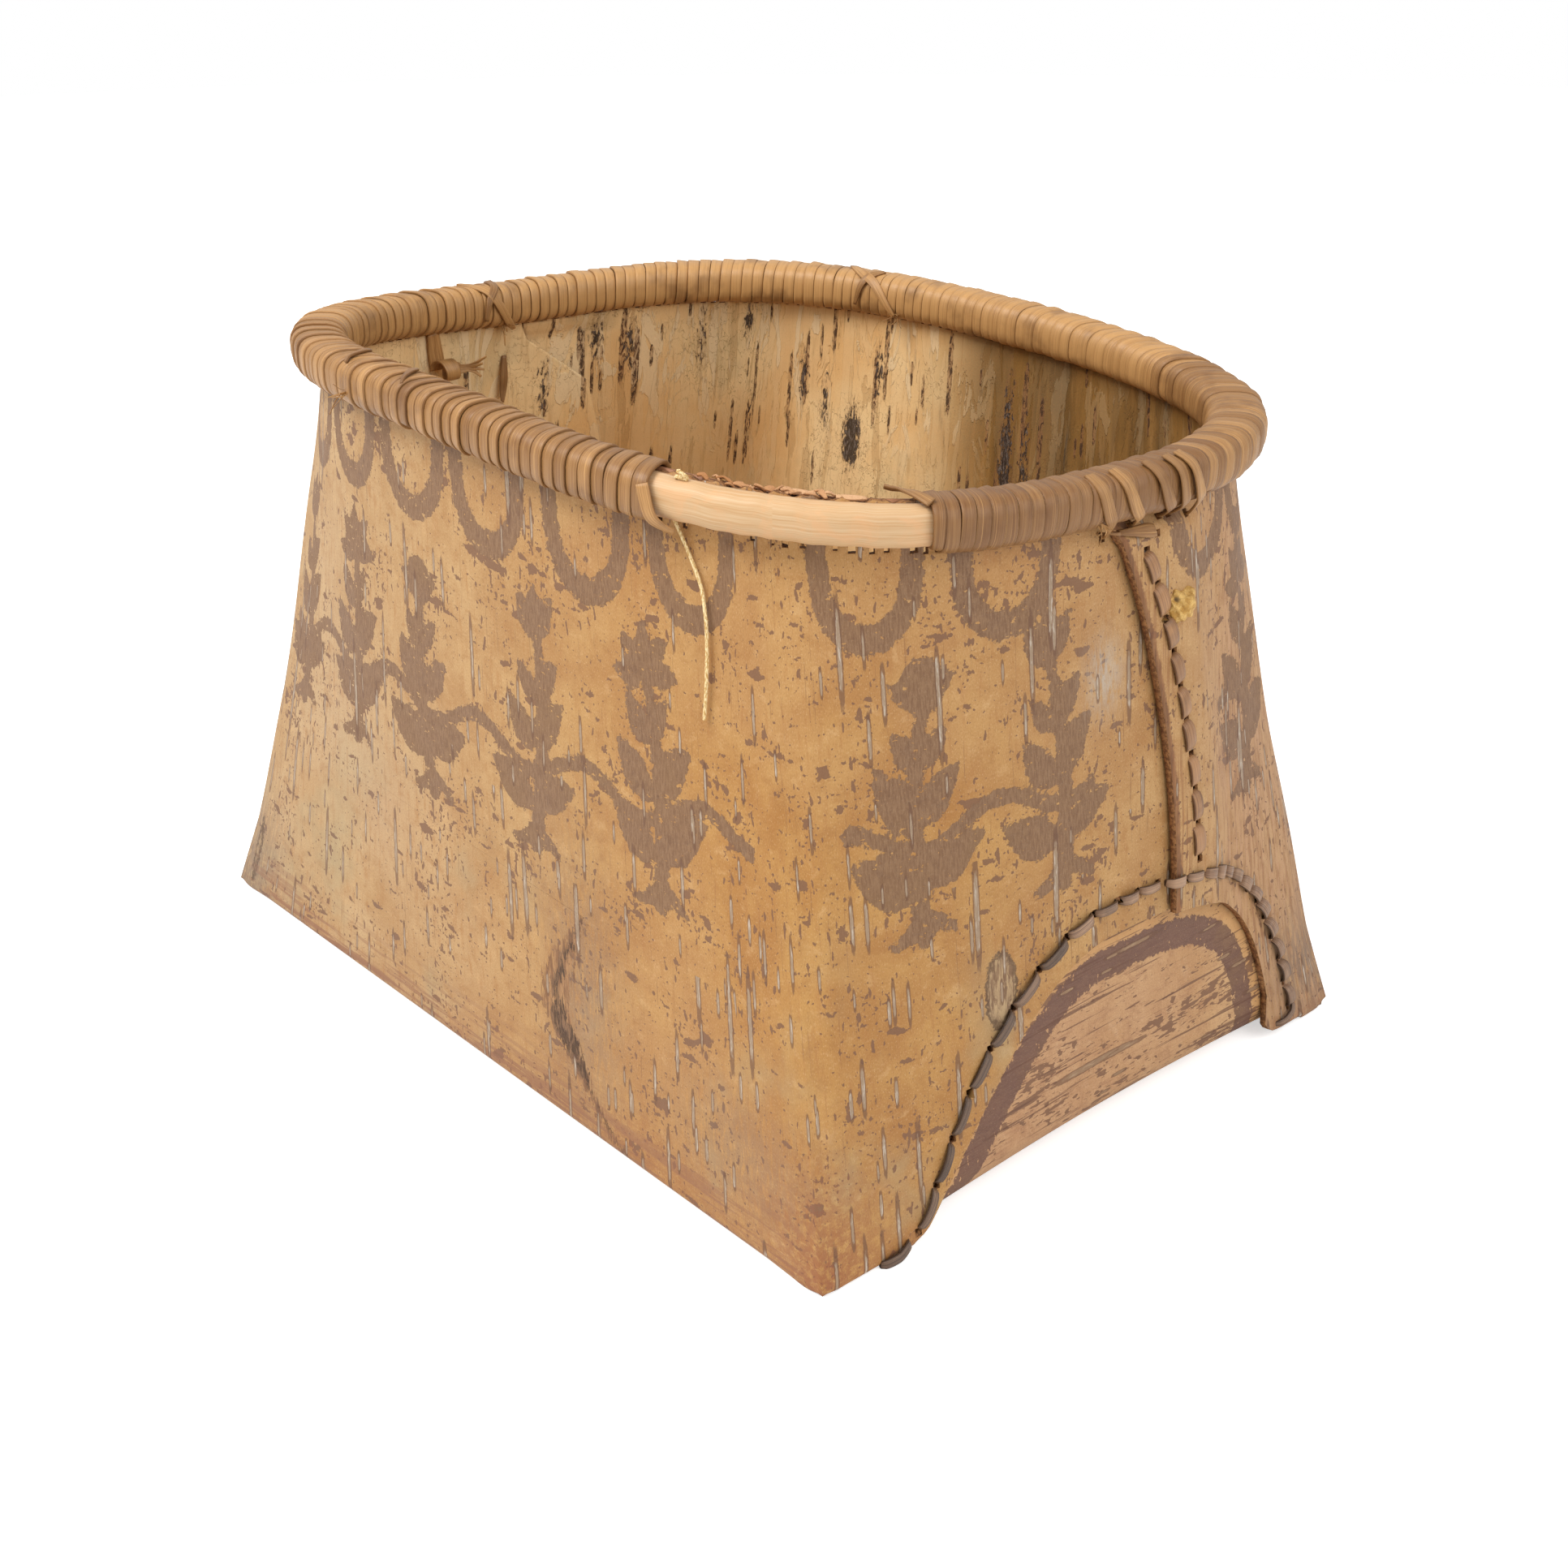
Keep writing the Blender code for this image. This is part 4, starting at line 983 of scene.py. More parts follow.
def build_ends(f, name, root):
    """Strip ends, splices, frayed ends, and the strips that reach down beside the right seam."""
    rng = np.random.default_rng(3)
    parts = []
    for shade, route in ENDS:
        points, faces = zip(*(on_rim(f, place, angle, grow / 1000) for place, angle, grow, _ in route))
        parts.append(ribbon(points, faces, [half / 1000 for *_, half in route], 0.0009, shade))
    for place, angle in TUFTS:
        for _ in range(7):
            at, face = on_rim(f, place + rng.normal(0, 0.004), angle, 0.0014)
            way = face + rng.normal(0, 0.55, 3)
            reach = rng.uniform(0.0028, 0.0046)
            points = [at - face * 0.001, at + way * reach * 0.5, at + (way + rng.normal(0, 0.3, 3)) * reach]
            half = rng.uniform(0.00018, 0.00042)
            parts.append(ribbon(points, [face + 0.2, face, face - 0.3], [half, half, half / 2], 0.0002, 1.6))
    for k, (place, y, z) in enumerate(WEDGES):
        q = y / f.half_y
        lift = float(lift_at(f, q, z, float(band_z(f, 1.0, q))))
        normal = wall_normals(f, 1.0, q, z)
        tip = wall_points(f, 1.0, q, z, lift + 0.0009)
        points, faces = zip(*(on_rim(f, mix(place, q, t), angle, 0.0017 + 0.0001 * k) for t, angle in (
            (-0.05, 80), (0, 30), (0.35, -10), (0.7, -42))))
        half = np.array([1.9, 2.1, 2.0, 1.5, 0.7, 0.5]) / 1000
        # Dark like the painted shade on the lashing at the right end, with a tone that varies from wedge to
        # wedge.
        shade = 0.5 * math.sin(k * 2.0) - 0.9
        points = [*points, tip, tip - normal * 0.0030]
        parts.append(ribbon(points, [*faces, normal, normal], half, 0.0009, shade))
    piece(name, joined(name, parts), "split_root", "rim_root_1", root)


def build_knot(f, name, fibre):
    """The thread's little knot on top of the lashing beside the bare hoop."""
    at, face = on_rim(f, 6.721, 74, 0.0)
    side = directions(on_rim(f, 6.731, 74, 0.0)[0] - at)
    t = np.linspace(0, 1, 9)[:, None]
    rise = face * (0.0036 * t - 0.0003) + side * 0.0010 * np.sin(5.2 * t)
    knot = ribbon(at + rise, [side] * 9, [0.0005] * 7 + [0.0007, 0.0003], 0.0009, 0.0)
    flat = ribbon(at + side * (0.0036 * t - 0.0018) + face * 0.0002, [face] * 9, [0.0006] * 9, 0.0008, 0.0)
    piece(name, joined(name, [knot, flat]), "plant_thread", "loose_thread", fibre)


def build_crumbs(f, name, bark):
    """Curled crumbs along the bark's torn edge over the bare hoop."""
    rng = np.random.default_rng(9)
    parts = []
    for k in range(18):
        place = 6.76 + 0.40 * (k / 17) ** 0.9 + rng.normal(0, 0.006)
        span = rng.uniform(0.020, 0.050)
        out = -f.bark * rng.uniform(0.3, 1.0)
        up = f.over_rim + rng.uniform(0.0005, 0.0014)
        points = []
        for t in (0, 0.5, 1):
            bow = 0.0007 * math.sin(math.pi * t + 0.6)
            points.append(rim_points(f, *square(place + span * t), out + rng.normal(0, 0.0005), up + bow))
        tilt = rng.normal(0, 0.35, 2)
        half = rng.uniform(0.0007, 0.0013)
        halves = [half * 0.5, half, half * 0.4]
        parts.append(ribbon(points, [(*tilt, 1.0)] * 3, halves, 0.0006, rng.normal()))
    for place, span, out in ((7.02, 0.11, -0.0022), (7.20, 0.09, -0.0012)):
        up = f.over_rim + 0.0012
        points = [rim_points(f, *square(place + span * t), out, up) for t in (0, 0.4, 0.7, 1)]
        parts.append(ribbon(points, [(0.2, -0.2, 1.0)] * 4, [0.0007, 0.0011, 0.0010, 0.0005], 0.0007, 1.0))
    piece(name, joined(name, parts), "birch_bark", "bark_body", bark)


# The roots' turns, and the painted light and shade of each root: lighter along the back and the left end,
# darker at the right end and the front
TURNS = (23, 23, 23, 24, 22, 23, 23, 23)
ROOT_LIGHT_AND_SHADE = (-1.5, -0.8, 1.2, 2.1, 2.0, 1.0, -0.6, -1.0)


def rim_table(f):
    """Places along the lashed stretch of the rim, and the lengths up to them."""
    place = np.linspace(f.bare_end / f.half_y, 6 + f.bare_start / f.half_x, 4001)
    return place, path_lengths(rim_points(f, *square(place), f.hoops_middle, 0))


def root_spans(f, s):
    """First and last length along the rim of each root. The outer ones start and stop at the bare hoop."""
    total = rim_table(f)[1][-1]
    pitch = (total - s.root_break * (len(TURNS) - 1)) / sum(TURNS)
    stop = -s.root_break
    for number, turns in enumerate(TURNS, 1):
        start = stop + s.root_break
        stop = start + pitch * turns
        before = s.root_break / 2 if number > 1 else 0
        after = s.root_break / 2 if number < len(TURNS) else 0
        yield start - before, stop + after


def root_passes(f, s):
    """Places where the roots go through the bark."""
    place, lengths = rim_table(f)
    along = [mix(*span, (np.arange(turns) + 0.9375) / turns) for span, turns in zip(root_spans(f, s), TURNS)]
    at = np.interp(np.concatenate(along), lengths, place)
    return np.concatenate([at, at - 8, at + 8])


def build_roots(f, s, root):
    """The eight roots wound round the hoops, each one unbroken strip."""
    place, lengths = rim_table(f)
    rng = np.random.default_rng(7)
    side, out = strip_profile(1.0, s.root_thick, 0.15)
    for number, ((first, last), turns, root_light) in enumerate(zip(root_spans(f, s), TURNS, ROOT_LIGHT_AND_SHADE), 1):
        half = ((last - first) / turns - s.turn_gap) / 2
        total = turns * s.turn_rings
        k = np.arange(total + 1)
        turn = k / s.turn_rings
        angle = (math.radians(-67.5) + 2 * math.pi * k / s.turn_rings)[:, None]
        wobble = rng.normal(0, 1, (5, turns + 2))
        shades, _, _, tilt, swell = wobble[:, np.minimum(turn.astype(int), turns), None]
        lean, wider = (np.interp(turn, np.arange(turns + 2), line)[:, None] for line in wobble[1:3])
        along = mix(first, last, k / total)[:, None] + 0.00022 * lean * np.sin(angle)
        across = along + side * (half * (1 + 0.022 * wider))
        grow = s.root_seat + out * (1 + 0.12 * np.sin(angle * 0.5 + 1))
        grow = grow + np.maximum(0.00014 * np.abs(swell) + 0.00010 * tilt * side, -0.0001)
        sunk = 0.0016 * unit(1 - np.minimum(k, total - k) / 3)[:, None]
        grow = np.maximum(grow - sunk, s.root_seat * 0.4 - sunk)
        cx, cy = square(np.interp(across, lengths, place))
        rings = rim_points(f, cx, cy, *section(f, angle, grow))
        name = f"root_{number}"
        # Each turn's random tone plus its root's painted light or shade.
        mesh = tube(name, rings, turn * 0.046, 0.30 * shades[:, 0] + root_light)
        piece(name, mesh, "split_root", f"rim_{name}", root)


# Stitches


def stitch(f, end, line, half, thick, dive, shade, behind=0.0):
    """A stitch laid on an end along a line of (y, z) points, diving into the bark at both ends.

    behind puts it inside instead, that far behind the wall's outer face.
    """
    t = np.linspace(0, 1, 13)
    points = resample(line, t * path_lengths(line)[-1])
    ahead = directions(np.gradient(points, axis=0))
    arch = np.sqrt(unit(1 - np.abs(2 * t - 1) ** 2.6))[:, None]
    side, out = strip_profile(1.0, thick)
    wide = side * half * (0.72 + 0.28 * arch)
    y, z = points[:, :1] - ahead[:, 1:] * wide, points[:, 1:] + ahead[:, :1] * wide
    q = y / f.half_y
    lift = lift_at(f, points[:, :1] / f.half_y, z, band_z(f, float(end), q))
    height = lift + f.gap + dive * (arch - 1) + 0.00035 * arch + out
    if behind:
        height = lift - height - behind
    return tube("part", raised(f, np.full_like(q, end), q, z, height), path_lengths(points), shade)


def arch_holes(f, s):
    """The line of the arch's stitches, as (y, z) from front to back foot, and the holes along it."""
    edge = arch_curve(f)
    step = directions(np.gradient(edge, axis=0))
    inset = s.stitch_inset * np.where(edge[:, 0] < 0, mix(0.25, 1, unit(edge[:, 1] / 0.036)),
                                      mix(1.18, 1, unit(edge[:, 1] / 0.045)))
    line = edge + np.stack([-step[:, 1], step[:, 0]], -1) * inset[:, None]
    line = line[line[:, 1] > 0.0042]
    total = path_lengths(line)[-1]
    pitches = (s.arch_leg, s.arch_leg, s.arch_crown, s.arch_crown, s.arch_shoulder, s.arch_shoulder * 1.35)
    at = [0.0]
    while at[-1] < total - s.arch_shoulder * 0.8:
        y = resample(line, at[-1:])[0, 0]
        at.append(at[-1] + float(np.interp(y, (-0.080, -0.028, 0.004, 0.034, 0.048, 0.09), pitches)))
    return line, np.array(at) * total / at[-1]


def seam_holes(f, s):
    """The line of the upright seam's stitches, as (y, z) from rim to arch, and the holes along it."""
    band = float(band_z(f, 1.0, f.seam_top / f.half_y))
    z = np.linspace(band - 0.0095, f.arch_height + s.stitch_inset + 0.0035, 40)
    line = np.stack([seam_q(f, z, band) * f.half_y + np.linspace(0.0086, 0.0122, 40), z], -1)
    total = path_lengths(line)[-1]
    return line, np.linspace(0, total, max(3, round(total / s.seam_pitch)) + 1)


# The arch's outermost stitches: (half width as a share, dive, shade) and points (y, z)
ARCH_ENDS = (
    ((0.45, 0.0014, -1.5), ((-0.0965, 0.0010), (-0.0900, 0.0012), (-0.0850, 0.0034))),
    ((0.34, 0.0016, -0.8), ((0.0982, 0.0098), (0.0962, 0.0066), (0.0925, 0.0050), (0.0880, 0.0044))),
)


def build_stitches(f, s, kind, end, behind, slot, seed, root):
    """All stitches of an arch or an upright seam, with those behind the bark where there are any."""
    rng = np.random.default_rng(seed + end)
    is_arch = kind == "arch"
    dive = 0.0021 if is_arch else 0.0018
    shrink, thick = 0.0008, s.stitch_thick
    line, at = arch_holes(f, s) if is_arch else seam_holes(f, s)
    parts = []
    for a, b in zip(at, at[1:]):
        span = resample(line, np.linspace(a + shrink, b - shrink, 7)) + rng.normal(0, 0.00018, 2)
        y = span[3, 0]
        wider = (1 if y < 0.05 else 1.35) if is_arch else 1.55
        half = s.stitch_width / 2 * rng.uniform(0.88, 1.12) * wider
        shade = np.interp(y, (-0.085, -0.03, 0.0, 0.04, 0.08), (-1.7, -1.3, 0.6, 1.1, 0.3)) if is_arch else 0
        parts.append(stitch(f, end, span, half, thick, dive, shade + 0.6 * rng.normal()))
        if behind:
            parts.append(stitch(f, end, span, half * 0.8, thick * 0.7, 0.0016, rng.normal(), behind))
    for (share, dive, shade), points in ARCH_ENDS if is_arch else ():
        parts.append(stitch(f, end, np.array(points), s.stitch_width * share, thick, dive, shade))
    word = "right" if end > 0 else "left"
    name = f"{kind}_{word}"
    piece(name, joined(name, parts), slot, f"{kind}_stitching_{word}", root)


def build_tie(f, end, root):
    """The lance-shaped strip that ties both flaps under the rim."""
    name = "tie_right" if end > 0 else "tie_left"
    band = float(band_z(f, float(end), 0.0))
    t = np.linspace(0, 1, 17)[:, None]
    line = np.concatenate([np.linspace(0.0010, 0.0222, 17)[:, None], band - 0.0018 - 0.0030 * t], 1)
    side, out = strip_profile(1.0, 0.0009)
    half = 0.0003 + 0.0017 * unit(t / 0.8) ** 1.3 * np.sqrt(unit((1.03 - t) / 0.12))
    z = line[:, 1:] + side * half
    q = np.broadcast_to(line[:, :1], z.shape) / f.half_y
    dip = 0.0016 * (unit(1 - t / 0.08) + unit((t - 0.94) / 0.06))
    height = lift_at(f, q, z, band) + f.gap + out - dip
    mesh = tube(name, raised(f, np.full_like(q, end), q, z, height), path_lengths(line), -1.1)
    piece(name, mesh, "stitching_root", f"seam_{name}", root)


# Small things


def build_plug(f, s, name, pitch):
    """A rough lump of dried pitch in its hole beside the seam."""
    mesh = bpy.data.meshes.new(name)
    with edited(mesh) as built:
        bmesh.ops.create_icosphere(built, subdivisions=5, radius=1.0)
        x, y, z = np.array([vert.co for vert in built.verts]).T
        swell = 1 + 0.10 * np.sin(4.1 * x + 1.3) * np.cos(3.2 * y) + 0.06 * np.sin(9 * x + 7 * y + 5 * z)
        swell += 0.035 * np.sin(17 * x + 3) * np.sin(19 * y + 1) * np.cos(13 * z)
        notch = np.exp(-((x - 0.02) ** 2 + (y - 0.85) ** 2) / 0.09) * 0.30
        cavity = np.exp(-((x + 0.62) ** 2 + (y - 0.42) ** 2) / 0.05) * 0.45 * (z > 0)
        q = (s.plug_place + x * swell * s.plug_width / 2 * (1 + 0.12 * y)) / f.half_y
        height = s.plug_height + (y * swell - notch) * 0.0054
        cx = np.ones_like(q)
        rise = np.maximum(z, -0.35) * swell * 0.0031 - cavity * 0.0031 + 0.0004
        points = raised(f, cx, q, height, lift_at(f, q, height, band_z(f, cx, q)) + rise)
        for vert, point in zip(built.verts, points):
            vert.co = point
        bmesh.ops.recalc_face_normals(built, faces=built.faces)
    set_attributes(mesh, cavity=cavity)
    piece(name, mesh, "dried_pitch", "pitch_plug", pitch)


def build_curl(f, s, name, root):
    """The frayed spare end of a root, curled up inside the left end under the rim, and a strip beside it."""
    q = s.curl_place / f.half_y
    inner = -(f.bark + f.gap)
    z = float(band_z(f, -1.0, q)) - s.curl_drop
    x = float(wall_points(f, -1.0, q, z, inner)[0])
    y = float(rim_points(f, -1.0, q, inner, 0)[1])
    centre = np.array([x + 0.0055, y, z])
    t = np.linspace(0, 1, 60)
    turn = 2 * math.pi * 1.6 * t
    direction = np.stack([-np.cos(turn), 0 * turn, np.sin(turn)], -1)
    side, out = strip_profile(0.0034, 0.0008)
    radius = mix(0.0046, 0.0020, t)[:, None] - 0.0008 + out
    ring = centre + direction[:, None, :] * radius[..., None]
    ring[..., 1] += t[:, None] * 0.005 + side * (1 - 0.45 * t[:, None])
    parts = [tube("part", ring, t * 0.05, 0.8)]
    stem = centre + np.array([(-0.0030, -0.002, 0.0135), (-0.0042, -0.001, 0.0070), (-0.0050, 0.0, 0.0010)])
    parts.append(ribbon(stem, [(1, 0, 0.1)] * 3, [0.0024, 0.0030, 0.0032], 0.0008, 0.2))
    for k in range(4):
        fray = centre + np.array([(0.001, 0.002, -0.001 + 0.001 * k), (0.003, 0.0085, 0.0005 * k),
                                  (0.004 + 0.001 * k, 0.0125 + 0.001 * (k % 2), -0.003 + 0.0026 * k)])
        parts.append(ribbon(fray, [(1, -0.3, 0.4 - 0.3 * k)] * 3, [0.0011, 0.0008, 0.0004], 0.0005, 1.2))
    hanging = [wall_points(f, -1.0, across / f.half_y, height, inner - off) for across, height, off in (
        (-0.0046, 0.1905, 0.0), (-0.0054, 0.1835, 0.0012),
        (-0.0060, 0.1785, 0.0016), (-0.0070, 0.1735, 0.0026),
    )]
    parts.append(ribbon(hanging, [(1, 0, 0.1)] * 4, [0.0009, 0.0016, 0.0015, 0.0006], 0.0007, -1.3))
    piece(name, joined(name, parts), "split_root", "root_curl", root)


# Awl holes under the bare hoop, and the thread's way down the front wall: (from the wall's middle, height)
AWL_PLACES = (6.718, 6.925, 6.995, 7.037, 7.096, 7.198, 7.248, 7.307, 7.349, 7.426, 7.460)
THREAD_ROUTE = np.array([
    (0.1176, 0.2033), (0.1191, 0.2014), (0.1241, 0.1951), (0.1293, 0.1871),
    (0.1310, 0.1800), (0.1313, 0.1724), (0.1303, 0.1620), (0.1285, 0.1514),
])


def build_thread(f, s, name, fibre):
    """The loose thread that hangs on the front wall from under the bare hoop's end."""
    seat = f.gap + s.thread_diameter * 0.62
    route = curved(wall_points(f, THREAD_ROUTE[:, 0] / f.half_x, -1.0, THREAD_ROUTE[:, 1], seat), 4)
    curve = bpy.data.curves.new(name, "CURVE")
    curve.dimensions = "3D"
    curve.bevel_depth = s.thread_diameter / 2
    curve.bevel_resolution = 4
    curve.use_fill_caps = True
    spline = curve.splines.new("POLY")
    spline.points.add(len(route) - 1)
    for target, point in zip(spline.points, route):
        target.co = (*point, 1)
    thread = piece(name, curve, "plant_thread", "loose_thread", fibre)
    total = float(path_lengths(route)[-1])


# Materials


def colour(text):
    """Linear colour from its written form."""
    parts = [int(text[i:i + 2], 16) / 255 for i in (0, 2, 4)]
    return tuple(c / 12.92 if c <= 0.04045 else ((c + 0.055) / 1.055) ** 2.4 for c in parts) + (1.0,)


class Value:
    """A number, vector or colour in a shader. Arithmetic on it adds Math nodes."""

    def __init__(self, graph, socket):
        self.graph, self.socket = graph, socket

    def __add__(self, other):
        return self.graph.math("ADD", self, other)

    def __radd__(self, other):
        return self.graph.math("ADD", other, self)

    def __sub__(self, other):
        return self.graph.math("SUBTRACT", self, other)

    def __rsub__(self, other):
        return self.graph.math("SUBTRACT", other, self)

    def __mul__(self, other):
        return self.graph.math("MULTIPLY", self, other)

    def __abs__(self):
        return self.graph.math("ABSOLUTE", self)

    def most(self, other):
        return self.graph.math("MAXIMUM", self, other)

    def band(self, low, high, to_low=0.0, to_high=1.0, kind="SMOOTHSTEP"):
        """Runs from to_low to to_high while this goes from low to high."""
        given = enumerate((self, low, high, to_low, to_high))
        return self.graph.value("ShaderNodeMapRange", given, interpolation_type=kind)

    def coats(self, *coats):
        """This colour with further ones laid over it, each as (share, colour)."""
        seen = self
        for share, laid in coats:
            seen = self.graph.blend(share, seen, laid)
        return seen


class Graph:
    """Short calls that add shader nodes to a tree and join them."""

    def __init__(self, tree):
        self.tree = tree

    def set(self, socket, value):
        if isinstance(value, Value):
            self.tree.links.new(value.socket, socket)
        elif isinstance(value, str):
            socket.default_value = colour(value)
        elif value is not None:
            socket.default_value = value

    def node(self, kind, inputs=(), **settings):
        made = self.tree.nodes.new(kind)
        for key, value in settings.items():
            setattr(made, key, value)
        for key, value in dict(inputs).items():
            self.set(made.inputs[key], value)
        return {socket.name: Value(self, socket) for socket in made.outputs}, made

    def value(self, kind, inputs=(), output=0, **settings):
        """One output of a new node."""
        return Value(self, self.node(kind, inputs, **settings)[1].outputs[output])

    def math(self, operation, *values, clamp=False):
        return self.value("ShaderNodeMath", enumerate(values), operation=operation, use_clamp=clamp)

    def blend(self, share, a, b):
        return self.value("ShaderNodeMix", {0: share, 6: a, 7: b}, 2, data_type="RGBA")

    def scaled(self, vector, scale, shift=(0, 0, 0), turn=0.0):
        return self.value("ShaderNodeMapping", {
            "Vector": vector, "Scale": scale, "Location": shift, "Rotation": (0, 0, turn)})

    def noise(self, vector, scale, detail=3.0, rough=0.55, distort=0.0, shift=(0, 0, 0), turn=0.0):
        """Noise with one scale, or drawn out where there are several."""
        if isinstance(scale, tuple):
            vector, scale = self.scaled(vector, (*scale, 1)[:3], shift, turn), 1.0
        return self.value("ShaderNodeTexNoise", {
            "Vector": vector, "Scale": scale, "Detail": detail, "Roughness": rough, "Distortion": distort})

    def mark(self, name):
        """An attribute of the piece."""
        return self.value("ShaderNodeAttribute", (), "Fac", attribute_name=name)

    def place(self):
        return self.value("ShaderNodeUVMap", uv_map="place")

    def point(self):
        return self.value("ShaderNodeTexCoord", (), "Object")

    def part(self, vector, axis):
        return self.value("ShaderNodeSeparateXYZ", {"Vector": vector}, axis)

    def looks(self, base, height, strength, distance, **more):
        """Colour and bumps, as joined to the shader."""
        bump = self.value("ShaderNodeBump", {"Height": height, "Strength": strength, "Distance": distance})
        return {"Base Color": base, "Normal": bump, **more}


def group(name, inputs, outputs, fill):
    """A node group with named sockets. fill(graph, inputs) returns what goes to the outputs."""
    tree = bpy.data.node_groups.new(name, "ShaderNodeTree")
    for way, sockets in (("INPUT", inputs), ("OUTPUT", outputs)):
        for socket, kind in sockets.items():
            tree.interface.new_socket(socket, in_out=way, socket_type=kind)
    graph = Graph(tree)
    start, stop = tree.nodes.new("NodeGroupInput"), tree.nodes.new("NodeGroupOutput")
    results = fill(graph, {socket: Value(graph, start.outputs[socket]) for socket in inputs})
    for socket, value in zip(outputs, results):
        graph.set(stop.inputs[socket], value)
    return tree


def surface(name, paint, rough=0.5, specular=0.5, **constants):
    """A material: paint(graph) returns what is joined to the shader's sockets."""
    made = bpy.data.materials.new(name)
    made.use_nodes = True
    graph = Graph(made.node_tree)
    shader = made.node_tree.nodes["Principled BSDF"]
    constants = {"Roughness": rough, "Specular IOR Level": specular, **constants, **paint(graph)}
    for key, value in constants.items():
        graph.set(shader.inputs[key], value)
    return made


FLOAT, VECTOR = "NodeSocketFloat", "NodeSocketVector"


# Pores: cells per metre across and up, least and most half size in a cell, and the share of cells with one
PORES = ((118, 9, 0.082, 0.145, 0.75), (160, 18, 0.085, 0.135, 0.85), (230, 40, 0.100, 0.170, 0.40))
# Flecks: grains per metre across and up, how they lie, and how many more there are
FLECKS = ((105, 240, 0.45, 0.008), (420, 190, -0.1, 0.004), (520, 700, 0.3, 0.0))


def pore_group():
    """Rod-shaped pores that run up the bark: how dark their rim is, and their pale middle."""

    def fill(g, given):
        place = given["Place"]
        rough = g.noise(place, (1300, 420), 2)
        rims, middles = [], []
        for wide, tall, least, most, share in PORES:
            cells = g.node("ShaderNodeTexVoronoi", {
                "Vector": g.scaled(place, (wide, tall, 1), (wide, tall, 0)), "Scale": 1.0, "Exponent": 3.0,
            }, distance="MINKOWSKI", voronoi_dimensions="2D")[0]
            gate = g.node("ShaderNodeSeparateColor", {"Color": cells["Color"]})[0]
            wanted = given["Amount"] * share
            if wide > PORES[0][0]:
                wanted = wanted * given["Small"]
            present = g.math("LESS_THAN", gate["Red"], wanted)
            size = gate["Green"].band(0, 1, least, most, "LINEAR")
            away = cells["Distance"] + rough * 0.07 - (size + 0.035)
            rims.append(away.band(0.034, 0.010) * present)
            middles.append(away.band(-0.016, -0.040) * present)
        return [a.most(b).most(c) for a, b, c in (rims, middles)]

    inputs = {"Place": VECTOR, "Amount": FLOAT, "Small": FLOAT}
    return group("pores", inputs, {"Rim": FLOAT, "Middle": FLOAT}, fill)


def fleck_group():
    """Ragged flecks of left bark: compact ones drawn out sideways and small ones drawn out upwards."""

    def fill(g, given):
        place = given["Place"]
        ragged = g.noise(place, (800, 800), 3, 0.6) - 0.5
        level = 0.722 - (g.noise(place, 42, 3, 0.6) - 0.45) * given["Amount"]
        found = []
        for across, up, turn, more in FLECKS:
            spot = g.noise(place, (across, up), 1, 0.5, shift=(across, up, 0), turn=turn) + ragged * 0.26
            found.append((spot + more - level).band(-0.008, 0.008))
        return [found[0].most(found[1].most(found[2]))]

    return group("flecks", {"Place": VECTOR, "Amount": FLOAT}, {"Mask": FLOAT}, fill)


def wall_wear(g, place, base, cloth):
    """Stains, grime, scar, crack, fold, haze and the flap's edge over a wall's colour, and their depth."""
    torn, grain, hair = cloth
    mark = g.mark
    z = g.part(place, 1)
    frayed = torn - 0.5
    rough_fibre = g.noise(place, (700, 160), 4, 0.7, 0.6, (4, 1, 0))
    scar_edge = mark("scar") + frayed * 5.0
    scar = scar_edge.band(-0.3, 0.3)
    wood = g.blend(rough_fibre.band(0.38, 0.60), "735843", "B19571")
    wood = wood.coats((scar_edge.band(1.9, 0.5, 0, 0.8), "4C3628"))
    line = abs(mark("crack") + (rough_fibre - 0.5) * 15.0)
    half = abs(z - 0.042).band(0.036, 0.0, 1.0, 6.2)
    graze = (line - half).band(0.5, -0.2)
    eye = abs(z - 0.029).band(0.014, 0.003, 0.24, 0.92)
    crack = (line - half * eye).band(0.35, -0.15)
    fold = g.noise(place, (16, 380), 4, 0.65, 0.3)
    strip = mark("lap") + frayed * 3.0
    ridge = (mark("lap") - 5.5).band(4.5, 1.0) * hair.band(0.46, 0.60)
    base = base.coats(
        (mark("stain") * torn.band(0.36, 0.56) * 0.72, "8D5236"),
        (mark("grime") * rough_fibre.band(0.34, 0.56) * 0.78, "7B6759"),
        (scar * 0.88, wood),
        (graze * 0.75, g.blend(grain.band(0.40, 0.60), "A67B52", "704A30")),
        (crack * 0.85, g.blend(rough_fibre.band(0.44, 0.60), "3A281B", "7F5E43")),
        (fold.band(0.48, 0.58) * mark("fold") * 0.80, "8C6048"),
        (mark("haze") * rough_fibre.band(0.30, 0.60), "B3A89B"),
        (strip.band(2.7, 1.8, 0, 0.80), g.blend(grain.band(0.4, 0.6), "8F6240", "684330")),
        (ridge * 0.55, "8A5B38"),
    )
    return base, scar.most(crack.most(graze * 0.5)) * (rough_fibre - 1.2)


def wall_tone(g, cloud, wide):
    """Golden and pale scraped bark."""
    share = cloud.band(0.32, 0.68)
    pale = g.blend(share, "AF8858", "BD9C72").coats((wide.band(0.40, 0.66, 0, 0.7), "BC9F7C"))
    gold = g.blend(share, "A37038", "B7894D").coats((wide.band(0.45, 0.66, 0, 0.45), "B88F60"))
    return g.blend(g.math("ADD", g.mark("warm"), (wide - 0.5) * 0.9, clamp=True), pale, gold)


